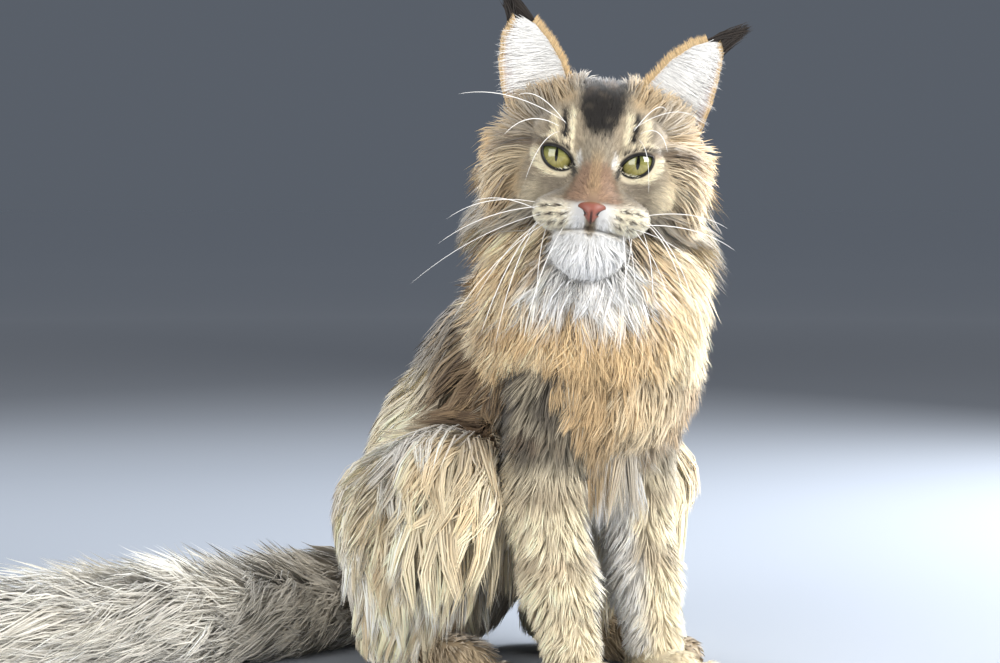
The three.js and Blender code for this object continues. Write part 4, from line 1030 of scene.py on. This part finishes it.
# Tail
# A full brush of silvery hair, longer than the tail under it is thick, that points along it to
# the tip. It is in three lengths.
PLUME_LENGTHS = ((-70, 60), (-170, -70), (-400, -170))
for k, (low, high) in enumerate(PLUME_LENGTHS):
    grow(f"tail_plume_{k}", 5000, (part == TAIL) & (sx >= low) & (sx < high), length=1.7,
         width=1.1, rise=0.95, rings=4, pull=0.5, spacing=18, wave=4)

# Ear hair
# White furnishings sweep from each ear's inner edge over the cup, short hair covers its back
# and golden rim, and a dark tuft carries on from the tip. They are blades rooted on the ear.
TUFT_LONG = 26


def hair_between(name, start, end, sag, width, colours, rings=4, normal=(0, -1, 0)):
    """Blades from start to end, bowed by sag at their middle."""
    ts = np.linspace(0, 1, rings)
    path = np.stack([start + (end - start) * t + sag * math.sin(math.pi * t) for t in ts])
    n = np.tile(unit(np.array(normal, float) @ HEAD_TURN.T), (len(start), 1))
    uv = np.stack([0.02 + 0.95 * ((start[:, 0] + 80) / 160), 0.02 + 0.95 * (start[:, 2] / 120)],
                  axis=1)
    # The blades are darker at their roots and lighter at their tips, partly the hair's own colour and
    # partly painted shade deep in the hair.
    spikes(name, from_head(path), n, width, [colours * f for f in np.linspace(0.8, 1.1, rings)],
           np.clip(uv, 0.01, 0.98))


for side, word in ((1, "left"), (-1, "right")):
    # Furnishings
    n = 3400
    v = rng.uniform(0.04, 0.97, n)
    u0 = np.abs(rng.normal(0.06, 0.16, n)).clip(0, 0.8)
    start = ear_point(side, u0, v, -0.2)
    span = rng.uniform(0.35, 0.75, n)
    end = ear_point(side, np.clip(u0 + span, 0, 1.08),
                    np.clip(v + rng.normal(0.05, 0.05, n), 0, 1))
    end[:, 1] -= rng.uniform(1, 6, n) * (1 - v)
    lean = np.stack([side * rng.uniform(0, 4, n), np.zeros(n), rng.normal(0.5, 1.5, n)], axis=1)
    tone = WHITE * rng.uniform(0.75, 1.1, n)[:, None]
    hair_between("ear_furnishings_" + word, start, end + lean, np.array([0, -3.0, 0]),
                 np.full(n, 0.42), tone, 4)

    # Back of the ear
    n = 4200
    u, v = rng.random(n), rng.random(n) ** 0.9
    start = ear_point(side, u, v, 2.1)
    end = ear_point(side, u + rng.normal(0, 0.02, n), np.clip(v + 0.09, 0, 1.03), 3.6)
    hair_between("ear_back_" + word, start, end, np.array([0, 0.4, 0]), np.full(n, 1.1),
                 (TAUPE * 0.9) * rng.uniform(0.6, 1.25, n)[:, None], 2, (0, 1, 0))

    # Golden rim
    n = 2600
    u = np.where(rng.random(n) < 0.55, rng.uniform(-0.02, 0.05, n), rng.uniform(0.95, 1.02, n))
    v = rng.random(n)
    start = ear_point(side, u, v, 0.8)
    spread = np.stack([(u - 0.5) * side * 5, np.full(n, -1.5), np.full(n, 5.0)], axis=1)
    hair_between("ear_rim_" + word, start, start + spread * rng.uniform(0.5, 1.1, n)[:, None],
                 np.zeros(3), np.full(n, 0.5), GOLD * rng.uniform(0.7, 1.25, n)[:, None], 2)

    # Dark tuft at the tip
    n = 520
    u, v = rng.uniform(0, 1, n), rng.uniform(0.86, 1.0, n)
    start = ear_point(side, u, v, 1.0)
    tuft = unit(np.array([EARS[side]["tuft"][0], 0.06, EARS[side]["tuft"][1]]))
    aim = ear_point(side, 0.5, 1.0)[0] + tuft * TUFT_LONG
    end = start + (aim - start) * rng.uniform(0.5, 1.0, n)[:, None] + rng.normal(0, 1.5, (n, 3))
    hair_between("ear_tuft_" + word, start, end, np.array([0, 0, 1.5]),
                 np.full(n, 0.8), (DARK * 0.8) * rng.uniform(0.4, 1.3, n)[:, None], 4)

# Whiskers
# Long, stiff and white, from the rows on the pads, with shorter ones over the eyes. Each is one
# long bowed blade that ends where its tip is given, across and up from between the eyes.
WHISKER = material("whisker", 0.35)
WHISKER_WIDTH, WHISKER_FOLD, WHISKER_RINGS = 0.5, 0.9, 14
WHISKER_ENDS = {
    -1: [(-106, -88), (-79, -109), (-74, -34), (-60, -116), (-50, -119), (-34, -126), (-92, -62),
         (-66, -96), (-26, -104), (-88, -46)],
    1: [(56, -90), (26, -118), (90, -47), (62, -79), (44, -100), (76, -66), (34, -108), (84, -34),
        (20, -96), (70, -88)],
}
# Each one's root and then its tip, across and up
BROW_WHISKERS = ((19, 17, 52, 33), (22, 16, 58, 8), (17, 18, 88, 30), (21, 15, 42, -18))
LEFT_BROW_SHARE = 0.55
starts, mids, ends = [], [], []
for side in (-1, 1):
    for i, (x, z) in enumerate(WHISKER_ENDS[side]):
        root = np.array([side * (14 + 3.6 * (i % 5)), 0, -30.5 - 4.2 * (i % 3)])
        root[1] = -33 + 0.024 * root[0] ** 2
        end = np.array([x, -6 + 0.05 * abs(x), z])
        starts.append(root)
        mids.append((root + end) / 2 + np.array([side * 6, -10, 13.0]))
        ends.append(end)
    for x, z, ex, ez in BROW_WHISKERS:
        if side > 0:
            ex = 22 + (ex - 22) * LEFT_BROW_SHARE
        root = np.array([side * x, -3.0, z])
        starts.append(root)
        ends.append(np.array([side * ex, -18.0, ez]))
        mids.append((root + ends[-1]) / 2 + np.array([side * 4, -9, 16.0]))
starts, mids, ends = map(np.array, (starts, mids, ends))
path = np.stack([from_head((1 - t) ** 2 * starts + 2 * t * (1 - t) * mids + t * t * ends)
                 for t in np.linspace(0, 1, WHISKER_RINGS)])
n = np.tile(unit(np.array([0, -1.0, 0.3]) @ HEAD_TURN.T), (len(starts), 1))
tones = [np.tile(WHITE, (len(starts), 1))] * WHISKER_RINGS
uv = np.stack([np.linspace(0.05, 0.9, len(starts)), np.full(len(starts), 0.5)], axis=1)
whiskers = spikes("whiskers", path, n, np.full(len(starts), WHISKER_WIDTH), tones, uv,
                  WHISKER_FOLD)
whiskers.data.materials[0] = WHISKER

# Stage
# A plain round floor that turns paler far out, and four soft square lamps. The lamps' places are
# in metres from the figure's origin, across, along and above the photo's line of sight.
TURN = math.radians(38)
REACHES, SLICES = (0.0, 0.4, 0.8, 1.3, 2.0, 3.0, 5.0, 9.0, 20.0, 60.0), 64
FADE_FROM, FADE_TO, FLOOR_FAR = 1.0, 6.0, 0.99
FLOOR_NEAR = paint(150, 156, 166)
LAMP_AIM = (-20, 20, 220)


def from_camera_frame(x, y, z):
    return Vector((x * math.cos(TURN) + y * math.sin(TURN),
                   -x * math.sin(TURN) + y * math.cos(TURN), z))


turns = [2 * math.pi * k / SLICES for k in range(SLICES)]
points = [(r * math.cos(a), r * math.sin(a), 0.0) for r in REACHES for a in turns]
quads = []
for i in range(len(REACHES) - 1):
    for k in range(SLICES):
        a, b = SLICES * i + k, SLICES * i + (k + 1) % SLICES
        quads.append((a + SLICES, b + SLICES, b, a))
# The floor is painted paler far out, where the lamps' light falls off, so that it meets the background
# evenly: painted light.
fade = ramp(np.repeat(REACHES, SLICES), FADE_FROM, FADE_TO)[:, None]
pale = material("pale_floor", 0.8)
floor = object_from("floor", points, quads, FLOOR_NEAR * (1 - fade) + FLOOR_FAR * fade, pale)
for name, at, size, power, tint in (
        ("key", (1.5, -1.0, 1.1), 1.1, 52, (1, 0.99, 0.97)),
        ("fill", (-1.2, -1.8, 0.8), 1.6, 42, (1, 0.99, 0.97)),
        ("rim", (1.1, 1.0, 0.9), 0.8, 58, (0.94, 0.97, 1)),
        ("back", (-1.1, 1.1, 1.2), 0.8, 14, (0.95, 0.98, 1))):
    data = bpy.data.lights.new(name, "AREA")
    data.energy, data.size, data.color = power, size, tint
    lamp = bpy.data.objects.new(name, data)
    lamp.location = from_camera_frame(*at) + Vector(ORIGIN)
    aim = Vector(row(LAMP_AIM)) - lamp.location
    lamp.rotation_mode = "QUATERNION"
    lamp.rotation_quaternion = aim.to_track_quat("-Z", "Y")
    bpy.context.collection.objects.link(lamp)
world = bpy.data.worlds.new("studio")
bpy.context.scene.world = world
world.use_nodes = True
world.node_tree.nodes["Background"].inputs["Color"].default_value = (0.10, 0.115, 0.14, 1)

# Camera
# The photo's view, with its focal length in pixels. The level pixel is where the photo shows the
# point above the figure's origin that is level with the camera.
FOCAL, PHOTO_WIDTH, MIDDLE_PIXEL, LEVEL_PIXEL = 2556, 1000, (500, 331.5), (602, 197)
SENSOR, CAMERA_BACK, CAMERA_HIGH = 36, 1.6, 0.31
camera = bpy.data.objects.new("camera", bpy.data.cameras.new("camera"))
bpy.context.collection.objects.link(camera)
camera.location = from_camera_frame(0, -CAMERA_BACK, CAMERA_HIGH) + Vector(ORIGIN)
yaw = math.atan((LEVEL_PIXEL[0] - MIDDLE_PIXEL[0]) / FOCAL)
pitch = math.atan((MIDDLE_PIXEL[1] - LEVEL_PIXEL[1]) / FOCAL)
gaze = from_camera_frame(-math.sin(yaw) * math.cos(pitch), math.cos(yaw) * math.cos(pitch),
                         -math.sin(pitch))
camera.rotation_mode = "QUATERNION"
camera.rotation_quaternion = gaze.to_track_quat("-Z", "Y")
camera.data.sensor_width = SENSOR
camera.data.lens = SENSOR * FOCAL / PHOTO_WIDTH
bpy.context.scene.camera = camera
bpy.context.scene.view_settings.view_transform = "Standard"
